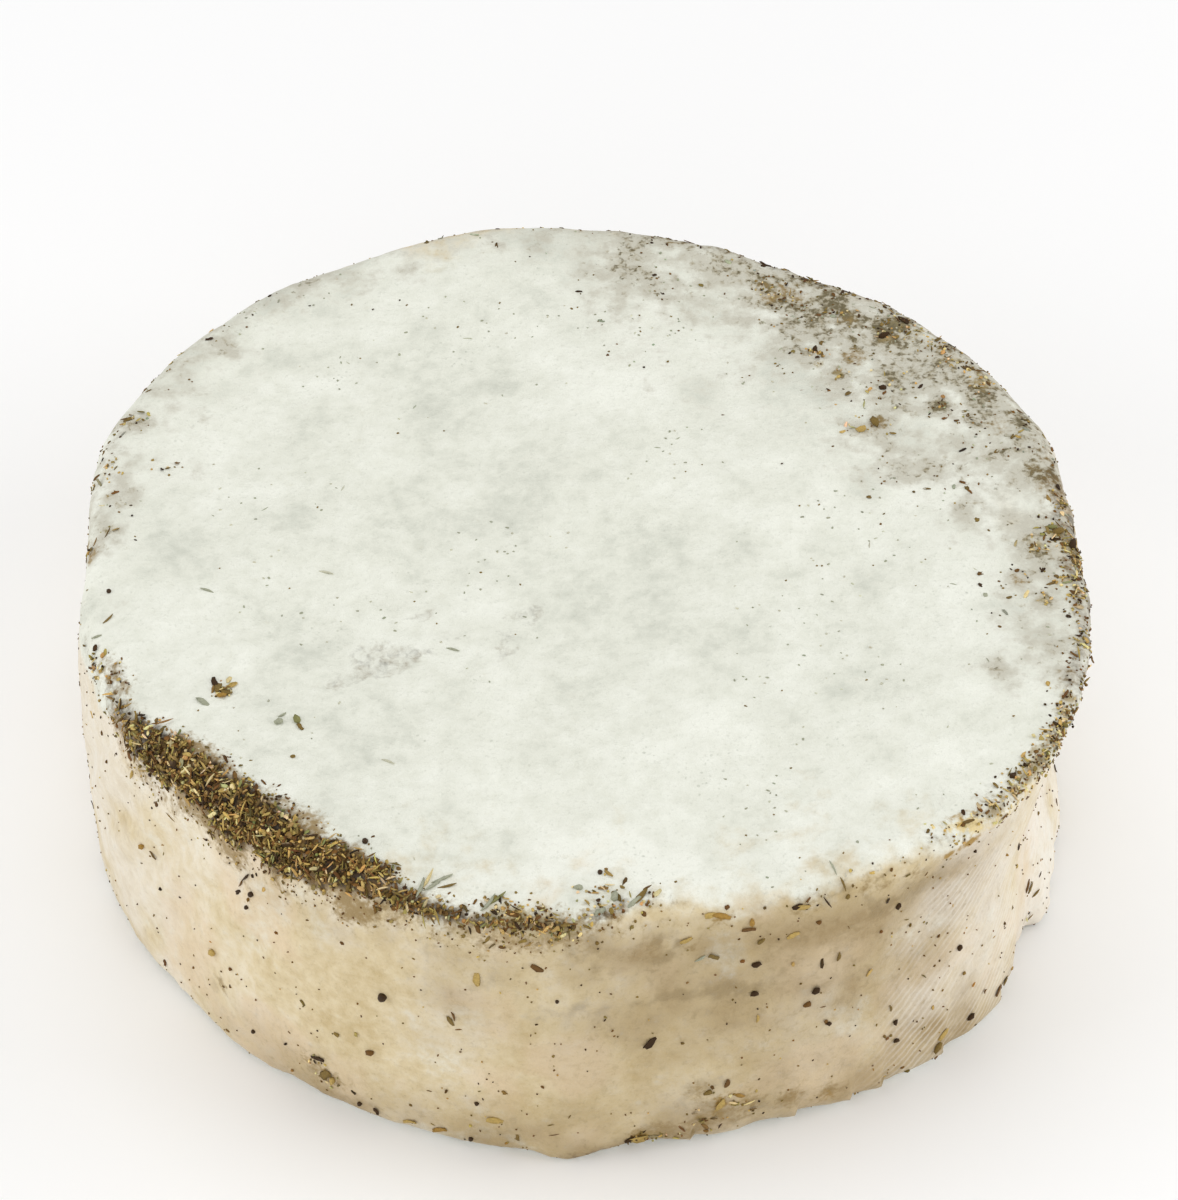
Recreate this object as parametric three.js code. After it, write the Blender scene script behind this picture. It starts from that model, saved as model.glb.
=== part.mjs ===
// A whole, uncut wheel of goat cheese with a bloomy rind, rolled in dried herbs.
// It is one solid piece, standing on its flat base. Millimetres, +Z up, -Y is the front.
// The wheel was turned and salted by hand, so its rim and its foot are swollen and
// pressed in by a few millimetres here and there, and on the right of the front the
// top has crept outwards into a lip that hangs over the side.
import * as THREE from "three";

// Driving dimensions
const RADIUS = 100;
const HEIGHT = 66;
const TOP_ROUNDING = 5.5;
const BASE_ROUNDING = 3.2;
const BELLY = 1.4;

// How finely the wheel is cut up: slices round the axis, then steps along one slice.
const SLICES = 108;
const BASE_STEPS = 3;
const ROUNDING_STEPS = 4;
const SIDE_STEPS = 9;
const TOP_STEPS = 9;

// Uneven places. Each is centred at an angle in degrees from +X towards +Y, fades over
// its spread in degrees, and moves the surface outwards by so many millimetres.
const RIM_SWELLS = [
  { at: -40, spread: 15, by: 5.2 },
  { at: -18, spread: 7, by: 0.6 },
  { at: 0, spread: 11, by: -3.0 },
  { at: 66, spread: 15, by: -1.6 },
  { at: 100, spread: 12, by: -0.8 },
  { at: 134, spread: 22, by: 2.4 },
  { at: 167, spread: 5, by: 1.2 },
  { at: 179, spread: 8, by: -3.0 },
  { at: -141, spread: 13, by: -2.4 },
  { at: -106, spread: 10, by: 0.8 },
  { at: -77, spread: 9, by: -2.6 },
];
const FOOT_SWELLS = [
  { at: -45, spread: 11, by: 2.4 },
  { at: -30, spread: 5, by: -1.0 },
  { at: -8, spread: 12, by: -2.6 },
  { at: 38, spread: 16, by: 1.4 },
  { at: 84, spread: 12, by: -1.3 },
  { at: -179, spread: 14, by: -1.0 },
  { at: -143, spread: 5, by: -2.0 },
  { at: -92, spread: 5, by: 1.4 },
  { at: -84, spread: 4, by: -1.6 },
];

// The lip over the side: the wall below it draws in, and its own edge is sharper.
const LIP = { at: -24, spread: 22, hollow: 9.5, sharper: 2.8 };
// The edge under the thick crust of herbs is worn rounder.
const WORN_EDGE = { at: -132, spread: 22, rounder: 2.6 };
// The back right of the top sank a little while the wheel ripened.
const SUNK = { at: 54, spread: 24, by: 1.4 };

// Small unevenness all round: waves per turn, size in millimetres, and phase.
const RIPPLES = [
  { waves: 7, size: 0.34, phase: 0.6 },
  { waves: 13, size: 0.3, phase: 2.1 },
  { waves: 23, size: 0.2, phase: 4.4 },
];
// Shallow waves over the top: wavelengths in millimetres, size, and direction in degrees.
const TOP_WAVES = [
  { length: 118, size: 0.55, heading: 24 },
  { length: 71, size: 0.38, heading: 103 },
  { length: 43, size: 0.26, heading: 161 },
];

// 1 at the centre of an uneven place, fading to 0 on both sides of it.
function near(place, angle) {
  const away = THREE.MathUtils.euclideanModulo(angle - place.at + 180, 360) - 180;
  return Math.exp(-0.5 * (away / place.spread) ** 2);
}

function swelling(swells, angle) {
  return swells.reduce((sum, swell) => sum + swell.by * near(swell, angle), 0);
}

function ripple(angle, shift) {
  const turn = THREE.MathUtils.degToRad(angle);
  return RIPPLES.reduce(
    (sum, wave) => sum + wave.size * Math.sin(wave.waves * turn + wave.phase + shift),
    0,
  );
}

function topWaves(x, y) {
  return TOP_WAVES.reduce((sum, wave) => {
    const heading = THREE.MathUtils.degToRad(wave.heading);
    const along = x * Math.cos(heading) + y * Math.sin(heading);
    return sum + wave.size * Math.sin((2 * Math.PI * along) / wave.length);
  }, 0);
}

// The outline of one slice, as curves in the plane of radius and height: out along the
// base, round its edge, up the side, round the rim, and back in over the top.
function sliceOutline(angle) {
  const foot = RADIUS + swelling(FOOT_SWELLS, angle) + ripple(angle, 0);
  const rim = RADIUS + swelling(RIM_SWELLS, angle) + ripple(angle, 1.7);
  const lip = near(LIP, angle);
  const rounding = TOP_ROUNDING - LIP.sharper * lip + WORN_EDGE.rounder * near(WORN_EDGE, angle);
  const top = HEIGHT - SUNK.by * near(SUNK, angle);
  const wall = top - rounding - BASE_ROUNDING;
  const belly = BELLY + ripple(angle, 3.1);

  const base = new THREE.LineCurve(
    new THREE.Vector2(0, 0),
    new THREE.Vector2(foot - BASE_ROUNDING, 0),
  );
  const baseEdge = new THREE.EllipseCurve(
    foot - BASE_ROUNDING, BASE_ROUNDING, BASE_ROUNDING, BASE_ROUNDING, -Math.PI / 2, 0,
  );
  const side = new THREE.CubicBezierCurve(
    new THREE.Vector2(foot, BASE_ROUNDING),
    new THREE.Vector2(foot + belly, BASE_ROUNDING + wall / 3),
    new THREE.Vector2(rim + belly - LIP.hollow * lip, BASE_ROUNDING + (wall * 3) / 4),
    new THREE.Vector2(rim, BASE_ROUNDING + wall),
  );
  const rimEdge = new THREE.EllipseCurve(
    rim - rounding, top - rounding, rounding, rounding, 0, Math.PI / 2,
  );
  const over = new THREE.LineCurve(
    new THREE.Vector2(rim - rounding, top),
    new THREE.Vector2(0, HEIGHT),
  );
  return [
    [base, BASE_STEPS],
    [baseEdge, ROUNDING_STEPS],
    [side, SIDE_STEPS],
    [rimEdge, ROUNDING_STEPS],
    [over, TOP_STEPS],
  ];
}

// The points of one slice between its two ends on the axis, in space.
function slicePoints(angle) {
  const outline = sliceOutline(angle);
  const turn = THREE.MathUtils.degToRad(angle);
  const flat = outline.flatMap(([curve, steps]) => curve.getPoints(steps).slice(1));
  flat.pop();
  return flat.map((point) => {
    const x = point.x * Math.cos(turn);
    const y = point.x * Math.sin(turn);
    const share = THREE.MathUtils.smoothstep(point.y, HEIGHT / 2, HEIGHT - TOP_ROUNDING);
    return new THREE.Vector3(x, y, point.y + share * topWaves(x, y));
  });
}

// Joins the slices into one closed skin, with a single point on the axis at each end.
function wheelGeometry() {
  const slices = Array.from({ length: SLICES }, (_, i) => slicePoints((360 * i) / SLICES));
  const steps = slices[0].length;
  const points = [...slices.flat(), new THREE.Vector3(0, 0, 0), new THREE.Vector3(0, 0, HEIGHT)];
  const baseCentre = SLICES * steps;
  const topCentre = baseCentre + 1;
  const triangles = [];
  for (let i = 0; i < SLICES; i++) {
    const here = i * steps;
    const next = ((i + 1) % SLICES) * steps;
    triangles.push(baseCentre, next, here);
    for (let k = 0; k < steps - 1; k++) {
      triangles.push(here + k, next + k, next + k + 1);
      triangles.push(here + k, next + k + 1, here + k + 1);
    }
    triangles.push(topCentre, here + steps - 1, next + steps - 1);
  }
  const geometry = new THREE.BufferGeometry().setFromPoints(points);
  geometry.setIndex(triangles);
  return geometry;
}

// Puts the middle of the wheel's box over the origin, with the base at height 0.
function standOnOrigin(geometry) {
  geometry.computeBoundingBox();
  const middle = geometry.boundingBox.getCenter(new THREE.Vector3());
  geometry.translate(-middle.x, -middle.y, -geometry.boundingBox.min.z);
  geometry.computeVertexNormals();
  return geometry;
}

const rind = new THREE.MeshStandardMaterial({ color: 0xe8e6d8, roughness: 0.85, metalness: 0 });

const wheel = new THREE.Mesh(standOnOrigin(wheelGeometry()), rind);
wheel.name = "cheese_wheel";

const cheese = new THREE.Group();
cheese.add(wheel);

export default cheese;
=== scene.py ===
import math
from functools import partial
from itertools import combinations

import bpy
import numpy as np
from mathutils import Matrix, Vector
from mathutils.bvhtree import BVHTree


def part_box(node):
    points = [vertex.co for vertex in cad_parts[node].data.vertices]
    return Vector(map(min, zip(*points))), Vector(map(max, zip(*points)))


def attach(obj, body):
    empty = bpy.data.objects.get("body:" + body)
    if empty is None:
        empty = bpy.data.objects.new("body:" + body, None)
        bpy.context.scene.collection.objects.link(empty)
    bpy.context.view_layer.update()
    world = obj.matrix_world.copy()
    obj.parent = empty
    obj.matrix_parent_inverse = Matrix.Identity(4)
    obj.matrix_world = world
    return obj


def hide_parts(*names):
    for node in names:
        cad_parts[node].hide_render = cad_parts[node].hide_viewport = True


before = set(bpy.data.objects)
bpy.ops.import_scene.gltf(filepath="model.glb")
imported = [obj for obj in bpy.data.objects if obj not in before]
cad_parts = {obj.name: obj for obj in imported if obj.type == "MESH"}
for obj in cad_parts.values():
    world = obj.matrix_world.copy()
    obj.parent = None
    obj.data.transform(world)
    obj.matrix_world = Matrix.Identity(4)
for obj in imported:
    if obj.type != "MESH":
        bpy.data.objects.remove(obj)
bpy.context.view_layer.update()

METRES = 0.001
SEED = 20
rng = np.random.default_rng(SEED)

# The photograph's frame and the camera fitted to it
PHOTO_WIDTH = 1178
PHOTO_HEIGHT = 1200
SENSOR = 36.0
FOCAL_PIXELS = 5172.0
CAMERA_ELEVATION = 43.94
CAMERA_DISTANCE = 1000.0
CAMERA_TARGET = (1.42, -13.30, 64.48)

# The skin's mesh
SKIN_CELL = 1.06
SKIN_SMOOTHING = 8
RIM_BIN = 3.0

# The skin's baked picture, in shares of its width: a disc each for the top and the base,
# and under them two strips for the side
DISC_RADIUS = 0.235
TOP_DISC = (0.25, 0.75)
BASE_DISC = (0.75, 0.75)
STRIP_LENGTH = 0.98
STRIP_START = 0.01
STRIP_UP = (0.02, 0.26)
# How far up or down a face has to point to belong to a disc
FACING_UP = 0.7
# The free edge round each bit's square of the herbs' map, as a share of the square
SQUARE_EDGE = 0.12

# The floor, in metres
FLOOR_HALF = 3.0
FLOOR_DROP = 0.0002

# The wheel's sizes, from the frame
NODE = "cheese_wheel"
LOW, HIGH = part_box(NODE)
HEIGHT = (HIGH[2] - LOW[2]) / METRES
RADIUS = (HIGH[0] - LOW[0] + HIGH[1] - LOW[1]) / 4 / METRES

# Where the rim's radius and the top's height are read, and how low the crust can lie
RIM_FROM = HEIGHT * 0.75
RIM_TO = HEIGHT * 0.93
SHOULDER_FROM = 5
SHOULDER_TO = 12
SHOULDER_ABOVE = HEIGHT * 0.6
CRUST_ABOVE = HEIGHT * 0.4

# The herb crust: how thick it lies at each angle, and how far it reaches in over the top
# and down the side, in millimetres.
CRUST = (
    # angle, cover, inwards, downwards
    (-180, 0.04, 3.0, 3.0),
    (-170, 0.06, 3.0, 4.5),
    (-164, 0.10, 3.0, 6.0),
    (-159, 0.28, 6.0, 4.0),
    (-155, 0.40, 4.6, 5.5),
    (-151, 0.70, 5.2, 7.5),
    (-147, 0.92, 4.8, 7.8),
    (-138, 1.00, 8.0, 7.8),
    (-131, 1.00, 7.2, 8.4),
    (-127, 1.00, 8.6, 7.8),
    (-122, 1.00, 10.2, 5.8),
    (-118, 1.00, 9.4, 4.4),
    (-114, 0.96, 8.0, 3.3),
    (-110, 0.82, 5.2, 2.7),
    (-106, 0.70, 4.2, 2.6),
    (-98, 0.64, 3.5, 2.4),
    (-92, 0.52, 3.6, 2.0),
    (-86, 0.40, 5.6, 1.6),
    (-81, 0.22, 6.0, 1.5),
    (-76, 0.08, 3.0, 2.5),
    (-64, 0.07, 3.0, 4.0),
    (-52, 0.12, 3.5, 3.5),
    (-44, 0.30, 3.5, 2.0),
    (-30, 0.34, 2.8, 1.8),
    (-14, 0.34, 3.4, 2.2),
    (-2, 0.36, 5.0, 3.0),
    (8, 0.46, 6.0, 4.0),
    (20, 0.16, 5.0, 4.0),
    (40, 0.26, 4.5, 4.0),
    (58, 0.42, 5.0, 4.5),
    (76, 0.28, 5.0, 4.0),
    (96, 0.12, 4.0, 4.0),
    (118, 0.04, 4.0, 4.0),
    (150, 0.04, 4.0, 4.0),
    (166, 0.07, 8.0, 4.0),
)


def crust_at(angle):
    """The crust's cover and its reach inwards and downwards, at each angle."""
    table = np.array(CRUST, dtype=float)
    return [np.interp(angle, table[:, 0], table[:, column], period=360) for column in (1, 2, 3)]


def smoothstep(low, high, value):
    """0 below low, 1 above high and smooth between. Low may be the larger."""
    share = np.clip((value - low) / (high - low), 0, 1)
    return share * share * (3 - 2 * share)


def bump_at(value, centre, spread):
    """1 at the centre, fading to 0 over the spread on both sides."""
    return np.exp(-0.5 * ((value - centre) / spread) ** 2)


def turn_from(angle, centre):
    """The angle's difference from the centre, between -180 and 180."""
    return (angle - centre + 180) % 360 - 180


# How the noise scrambles a cell's numbers and the seed into a value, the step from one
# octave's seed to the next, and the stretch that brings their sum back to about -1 to 1
CELL_PRIMES = (73856093, 19349663, 83492791)
SEED_PRIME = 6542989
SCRAMBLES = ((13, 1274126177), (15, 668265263))
KEPT_BITS = 0x7FFFFFFF
LEVELS = 0xFFFF
SEED_STEP = 31
STRETCH = 1.4


def value_noise(points, size, seed):
    """Smooth noise from -1 to 1, with a new value every `size` millimetres."""
    scaled = points / size
    cell = np.floor(scaled).astype(np.int64)
    part = scaled - cell
    ease = part * part * part * (part * (part * 6 - 15) + 10)
    total = np.zeros(len(points))
    for corner in np.ndindex(2, 2, 2):
        key = (cell + corner) * CELL_PRIMES
        mixed = key[:, 0] ^ key[:, 1] ^ key[:, 2] ^ seed * SEED_PRIME
        for shift, prime in SCRAMBLES:
            mixed = (mixed ^ (mixed >> shift)) * prime & KEPT_BITS
        value = (mixed >> 7 & LEVELS) / LEVELS * 2 - 1
        weight = np.prod(np.where(corner, ease, 1 - ease), axis=1)
        total += weight * value
    return total


def rough_noise(points, size, seed, octaves=4, keep=0.5):
    """Noise with finer and finer noise on top of it, from about -1 to 1."""
    total = np.zeros(len(points))
    reach = 0
    for octave in range(octaves):
        share = keep**octave
        total += share * value_noise(points, size / 2**octave, seed + SEED_STEP * octave)
        reach += share
    return total / reach * STRETCH


def srgb(red, green, blue):
    """A colour from 0 to 255 as the eye sees it, as linear light with alpha."""
    def linear(level):
        level /= 255
        return level / 12.92 if level <= 0.04045 else ((level + 0.055) / 1.055) ** 2.4
    return (linear(red), linear(green), linear(blue), 1.0)


def add_object(name, data):
    thing = bpy.data.objects.new(name, data)
    bpy.context.collection.objects.link(thing)
    return thing


def stand(thing, place, back):
    """Puts a camera or a light at a place in metres, with its back turned that way."""
    thing.location = place
    thing.rotation_mode = "QUATERNION"
    thing.rotation_quaternion = back.to_track_quat("Z", "Y")


# The skin

def remeshed_wheel():
    """A copy of the frame's wheel as an even, fine mesh. It returns the new object."""
    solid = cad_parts[NODE]
    source = solid.copy()
    source.data = solid.data.copy()
    bpy.context.collection.objects.link(source)
    remesh = source.modifiers.new("remesh", "REMESH")
    remesh.mode = "VOXEL"
    remesh.voxel_size = SKIN_CELL * METRES
    smooth = source.modifiers.new("smooth", "SMOOTH")
    smooth.factor = 0.5
    smooth.iterations = SKIN_SMOOTHING
    graph = bpy.context.evaluated_depsgraph_get()
    mesh = bpy.data.meshes.new_from_object(source.evaluated_get(graph))
    mesh.name = "rind_skin"
    bpy.data.objects.remove(source)
    return add_object("rind_skin", mesh)


def read_vectors(items, name):
    values = np.empty(len(items) * 3)
    items.foreach_get(name, values)
    return values.reshape(-1, 3)


def surface_of(mesh):
    points = read_vectors(mesh.vertices, "co") / METRES
    return Surface(points, read_vectors(mesh.vertex_normals, "vector"))


def rim_profile(angle, value, chosen, pick):
    """One number for each angle, taken from the chosen points in narrow sectors."""
    bins = np.arange(-180, 180, RIM_BIN)
    index = np.floor((angle[chosen] + 180) / RIM_BIN).astype(int) % len(bins)
    level = np.array([pick(value[chosen][index == i]) for i in range(len(bins))])
    return lambda at: np.interp(at, bins + RIM_BIN / 2, level, period=360)


class Surface:
    """The skin's points, and where each of them lies on the wheel."""

    def __init__(self, points, normals):
        self.points = points
        self.normals = normals
        self.angle = np.degrees(np.arctan2(points[:, 1], points[:, 0]))
        self.radius = np.hypot(points[:, 0], points[:, 1])
        self.height = points[:, 2]
        self.flat = points * (1.0, 1.0, 0.0)
        upper = (self.height > RIM_FROM) & (self.height < RIM_TO)
        rim = rim_profile(self.angle, self.radius, upper, np.max)
        self.inward = rim(self.angle) - self.radius
        shoulder = (self.inward > SHOULDER_FROM) & (self.inward < SHOULDER_TO)
        shoulder &= self.height > SHOULDER_ABOVE
        top = rim_profile(self.angle, self.height, shoulder, np.mean)
        self.down = top(self.angle) - self.height
        self.along = np.radians(self.angle) * RADIUS
        self.is_top = smoothstep(0.45, 0.85, normals[:, 2])
        self.is_base = smoothstep(0.55, 0.9, -normals[:, 2])
        self.is_side = 1 - np.maximum(self.is_top, self.is_base)

    def noise(self, size, seed, octaves=4):
        return rough_noise(self.points, size, seed, octaves)

    def sector(self, start, end, fade):
        """1 between two angles, fading to 0 outside them."""
        middle = (start + end) / 2
        half = (end - start) / 2
        return 1 - smoothstep(half, half + fade, np.abs(turn_from(self.angle, middle)))

    def crust_cover(self):
        """How thickly the rim's herb crust covers each point, from 0 to 1."""
        cover, inwards, downwards = crust_at(self.angle)
        reach = np.maximum(self.inward / inwards, self.down / downwards)
        ragged = reach + 0.32 * self.noise(5.0, 3)
        inside = 1 - smoothstep(0.62, 1.28, ragged)
        return cover * inside * (self.height > CRUST_ABOVE)


def top_relief(s):
    """Soft lumps of mould over the top."""
    lumps = 0.30 * s.noise(19.0, 11) + 0.15 * s.noise(5.5, 12) + 0.06 * s.noise(1.9, 13, 2)
    sunk_right = s.sector(5, 80, 20) * smoothstep(45, 25, s.inward)
    return s.is_top * (lumps + sunk_right * 0.22 * s.noise(6.0, 14))


def side_relief(s):
    """Folds, a crease and fine ridges round the side."""
    body = 0.34 * s.noise(24.0, 21) + 0.13 * s.noise(5.0, 22) + 0.05 * s.noise(1.9, 23, 2)
    slant = s.along + 0.75 * s.down + 4.0 * value_noise(s.points, 18.0, 24)
    folds = np.cos(2 * math.pi * slant / 15.0) * s.sector(-162, -128, 12)
    folds *= bump_at(s.down, 28, 13)
    crease_line = 24 + 0.06 * (s.along + 140) + 1.6 * value_noise(s.points, 16.0, 25)
    crease = bump_at(s.down, crease_line, 1.3) * s.sector(-94, -66, 5)
    hatch = s.along + s.down + 1.4 * value_noise(s.points, 9.0, 26)
    ridges = np.cos(2 * math.pi * hatch / 3.4) * s.sector(-48, -20, 8)
    ridges *= bump_at(s.down, 26, 11)
    return s.is_side * (body + 0.55 * folds - 0.5 * crease + 0.09 * ridges)


def rim_relief(s, crust):
    """The crust stands proud, and the bare roll of the front rim is lumpy."""
    near_rim = bump_at(np.maximum(s.inward, s.down), 2.5, 5.0) * (s.height > HEIGHT / 2)
    lumpy = s.sector(-84, -44, 10) * near_rim * 0.55 * s.noise(8.0, 31)
    return lumpy + crust * (0.35 + 0.55 * s.noise(3.6, 32))


def lip_push(s):
    """The lip's thin ragged flange and the hollow under it, and the rest of the rim's bumps."""
    lip = s.sector(-50, -6, 7)
    flange = bump_at(s.down, 2.4, 1.9) * (0.3 + 0.8 * s.noise(6.0, 41))
    hollow = bump_at(s.down, 8.0, 3.0) * 0.6
    rest_of_rim = bump_at(s.down, 2.5, 2.5) * 0.35 * s.noise(7.0, 42)
    return (s.inward < 8) * (lip * (flange - hollow) + (1 - lip) * rest_of_rim)


def foot_push(s):
    """The foot's ragged edge, its tears on the right, and the wall's hollows above them."""
    at_foot = np.exp(-s.height / 3.5) * (s.radius > RADIUS * 0.93)
    scallops = 0.9 * rough_noise(s.flat, 13.0, 51) + 0.5 * rough_noise(s.flat, 4.5, 52)
    point_at_front = 1.2 * bump_at(turn_from(s.angle, -92.5), 0, 1.6)
    steps = (s.along / 13.0 + 0.5 * value_noise(s.flat, 12.0, 53)) % 1 - 0.5
    torn = 1.9 * steps * s.sector(-78, -6, 10) * np.exp(-s.height / 7.0)
    tear = 0.7 * s.sector(-20, -15, 5) - 3.0 * s.sector(-31, -25.5, 2)
    tear *= np.exp(-s.height / 9.0)
    dent = -4.8 * bump_at(turn_from(s.angle, -9), 0, 14) * bump_at(s.height, 29, 10)
    dent -= 4.6 * bump_at(turn_from(s.angle, 5), 0, 7) * bump_at(s.height, 10, 14)
    drawn_in = 0.7 * s.sector(-146, -104, 10) + 1.6 * s.sector(-84, -52, 8)
    at_wall = (torn + tear + dent) * (1 - s.is_top) * (s.radius > RADIUS * 0.85)
    return at_foot * (scallops + point_at_front - drawn_in) + at_wall


def shape_skin(mesh):
    """Gives the skin its relief and returns the surface as it now lies."""
    s = surface_of(mesh)
    crust = s.crust_cover()
    swell = top_relief(s) + side_relief(s) + rim_relief(s, crust) - s.is_base * 0.1
    outward = lip_push(s) + foot_push(s)
    away = s.flat / np.maximum(s.radius, 1)[:, None]
    points = s.points + swell[:, None] * s.normals + outward[:, None] * away
    points[:, 2] = np.maximum(points[:, 2], 0)
    mesh.vertices.foreach_set("co", (points * METRES).ravel())
    mesh.update()
    return Surface(points, read_vectors(mesh.vertex_normals, "vector"))


def mould_mask(s, blots):
    """White mould: all over the top and base, fading unevenly just below the rim."""
    front = s.sector(-108, -50, 12)
    reach = 2.5 - 1.2 * front + 5.0 * s.sector(150, 200, 14)
    reach += 3.2 * s.noise(30.0, 60, 2) * s.sector(10, 200, 20)
    reach -= 4.5 * s.sector(-150, -114, 8) * smoothstep(4, 1, s.inward)
    reach -= 3.0 * s.sector(-101, -84, 5) * smoothstep(4, 1, s.inward)
    width = 7.0 + 3.0 * front
    below = (s.down - s.inward * 0.12 - reach) / width
    fade = 1 - smoothstep(0.0, 1.0, below + 0.5 + 0.34 * s.noise(7.0, 61))
    fade = np.maximum(fade, blots * (0.85 + 0.4 * s.noise(4.0, 59)))
    patches = 0.3 * smoothstep(-0.1, 0.8, s.noise(13.0, 62)) * s.is_side
    foot = s.is_base * 0.8
    return np.clip(np.maximum(np.maximum(fade, foot), patches), 0, 1)


# The grey veil along the rim, in sectors with their fade and strength. It reaches inwards to
# one distance from the rim, is full at another, and is uneven by so many millimetres of noise.
VEILS = (
    # start, end, fade, strength, reach, full, uneven by, noise size, seed
    (22, 84, 14, 0.72, 60, 8, 12, 22.0, 71),
    (-14, 34, 12, 0.52, 30, 3, 8, 15.0, 72),
    (70, 150, 14, 0.45, 22, 2, 9, 13.0, 76),
    (158, 178, 8, 0.45, 18, 3, 6, 9.0, 73),
)


def veil_mask(s, blots):
    """Grey and olive mottling over the back right of the top and along the rim."""
    level = np.zeros(len(s.points))
    for start, end, fade, strength, reach, full, uneven, size, seed in VEILS:
        inside = smoothstep(reach, full, s.inward + uneven * s.noise(size, seed))
        level = np.maximum(level, strength * s.sector(start, end, fade) * inside)
    around = np.stack([s.along * 0.6, s.inward, s.height], 1)
    mottled = 0.62 + 0.5 * rough_noise(around, 4.6, 74, 4, 0.65)
    return np.clip((level + 0.6 * blots) * mottled, 0, 1) * (1 - s.is_side * (s.down > 6))


def haze_mask(s, blots):
    """A brownish haze on the mould and on the side next to the herbs."""
    near = halo_round(s) * (0.9 + 0.8 * s.noise(6.0, 77))
    return np.clip(np.maximum(near, blots * (0.9 + 0.4 * s.noise(4.0, 78))), 0, 1)


def blotch_field(s, blots):
    """Light and grey blotches of mould, from 0 to 1."""
    drift = 0.30 * s.noise(26.0, 63, 2) + 0.55 * rough_noise(s.points, 8.0, 64, 4, 0.62)
    return np.clip(0.54 + 0.4 * drift + 0.3 * blots, 0, 1)


def cluster_mask(s):
    """Where the mould lets the specks under it show."""
    return s.is_top * smoothstep(0.1, 0.55, s.noise(12.0, 65)) * smoothstep(-0.5, 0.2, s.noise(40.0, 66))


def cloud_field(s, blots):
    """Brown to cream clouds round the side, from 0 to 1, stretched upwards."""
    tall = s.points * (1.0, 1.0, 0.6)
    return np.clip(0.5 + 0.40 * rough_noise(tall, 22.0, 67, 5, 0.55) + 0.13 * blots, 0, 1)


def blush_mask(s):
    """Where the side is a little pinker."""
    return smoothstep(-0.05, 0.55, s.noise(15.0, 68))


def clear_of_rim(s):
    """Less just below the rim, and all of it further down."""
    return 0.2 + 0.8 * smoothstep(0.5, 12.0, s.down)


def dirt_and_shade_mask(s, blots):
    """Thin grey dirt on the side, with painted shade under the front rim and in its crease, where it is
    strongest.
    """
    # Painted shade under the roll of the front rim
    under_rim = s.sector(-100, -42, 16) * smoothstep(30, 6, s.down + 8 * s.noise(16.0, 97))
    # Painted shade in the side's crease
    crease_line = 25 + 0.06 * (s.along + 140)
    crease = s.sector(-94, -66, 6) * bump_at(s.down, crease_line, 2.6)
    drift = smoothstep(0.0, 0.7, s.noise(28.0, 69))
    veils = smoothstep(-0.35, 0.65, rough_noise(s.points, 8.0, 70, 4, 0.65))
    level = (0.3 * drift + 0.7 * under_rim * clear_of_rim(s)) * veils + 0.22 * crease
    level += blots * (0.5 + 0.5 * veils)
    return np.clip(level, 0, 1) * s.is_side


def streak_and_light_mask(s):
    """Pale on the side: slanting streaks of mould, a haze at both ends that is partly pale mould and
    partly painted light, and painted light under the lip.
    """
    slanted = s.sector(-50, -14, 8) * smoothstep(8, 16, s.down) * smoothstep(3, 22, s.height)
    # Both ends of the side: partly pale mould haze, partly painted light
    haze = 0.9 * s.sector(-24, 24, 14) + 0.7 * s.sector(168, 208, 20)
    # Painted light under the lip, where its hollow is shaded
    under_lip = 0.6 * s.sector(-46, -10, 6) * smoothstep(18, 7, s.down)
    level = np.maximum.reduce([0.5 * slanted, haze, under_lip])
    return np.clip(level * smoothstep(-0.8, 0.3, s.noise(11.0, 99)), 0, 1) * s.is_side


def hatch_phase(s):
    """How far round the fine slanting ridges each point lies, in radians."""
    return 2 * math.pi * (s.along + s.down + 1.2 * value_noise(s.points, 9.0, 26)) / 2.3


def hatch_mask(s):
    """Where the fine ridges show: low on the right of the front."""
    level = s.sector(-50, -14, 10) * smoothstep(9, 20, s.down)
    return level * smoothstep(-0.7, 0.4, s.noise(12.0, 94)) * s.is_side


def stain_and_shade_mask(s, crust):
    """Brown stain in and round the herb crust, with painted shade in the gaps between the crust's herbs,
    and faintly along the foot.
    """
    cover = crust_at(s.angle)[0]
    spill = cover * (1 - smoothstep(0, 14, s.down)) * (s.down > 1) * 0.35 * (cover > 0.5)
    spill *= smoothstep(-0.5, 0.6, s.noise(6.0, 81))
    foot = np.exp(-s.height / 2.4) * s.is_side * 0.75 * smoothstep(-0.1, 0.7, s.noise(11.0, 82))
    # In the crust: stain and painted shade between the herbs
    return np.clip(np.maximum.reduce([crust**0.8, spill, foot]), 0, 1)


def paste_mask(s, blots):
    """The creamy yellow paste that shows along the lip's edge."""
    lip = s.sector(-46, -10, 6)
    edge = bump_at(s.down, 2.6, 1.0) * (s.inward < 3) * (s.height > HEIGHT / 2)
    return np.clip(0.55 * lip * edge * smoothstep(-0.5, 0.3, s.noise(5.0, 91)) + blots, 0, 1)


def age_and_shade_mask(s, blots):
    """Where the side is painted darker: the front right, partly aged rind and partly painted shade, and
    further round, low down towards the foot.
    """
    # The front right: partly aged rind, partly painted shade, most of it near the rim
    front_right = s.sector(-80, -46, 16) * clear_of_rim(s)
    high = 0.6 + 0.4 * smoothstep(40, 8, s.down + 8 * s.noise(20.0, 95))
    foot = 0.9 * smoothstep(24, 2, s.height + 5 * s.noise(16.0, 93)) * s.sector(-120, -40, 24)
    level = np.maximum(front_right * high, foot) + blots
    return np.clip(level * (0.85 + 0.5 * s.noise(9.0, 96)), 0, 1) * s.is_side


def store_mask(mesh, name, values):
    mask = mesh.attributes.new(name, "FLOAT", "POINT")
    mask.data.foreach_set("value", values.astype(np.float32))


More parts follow.
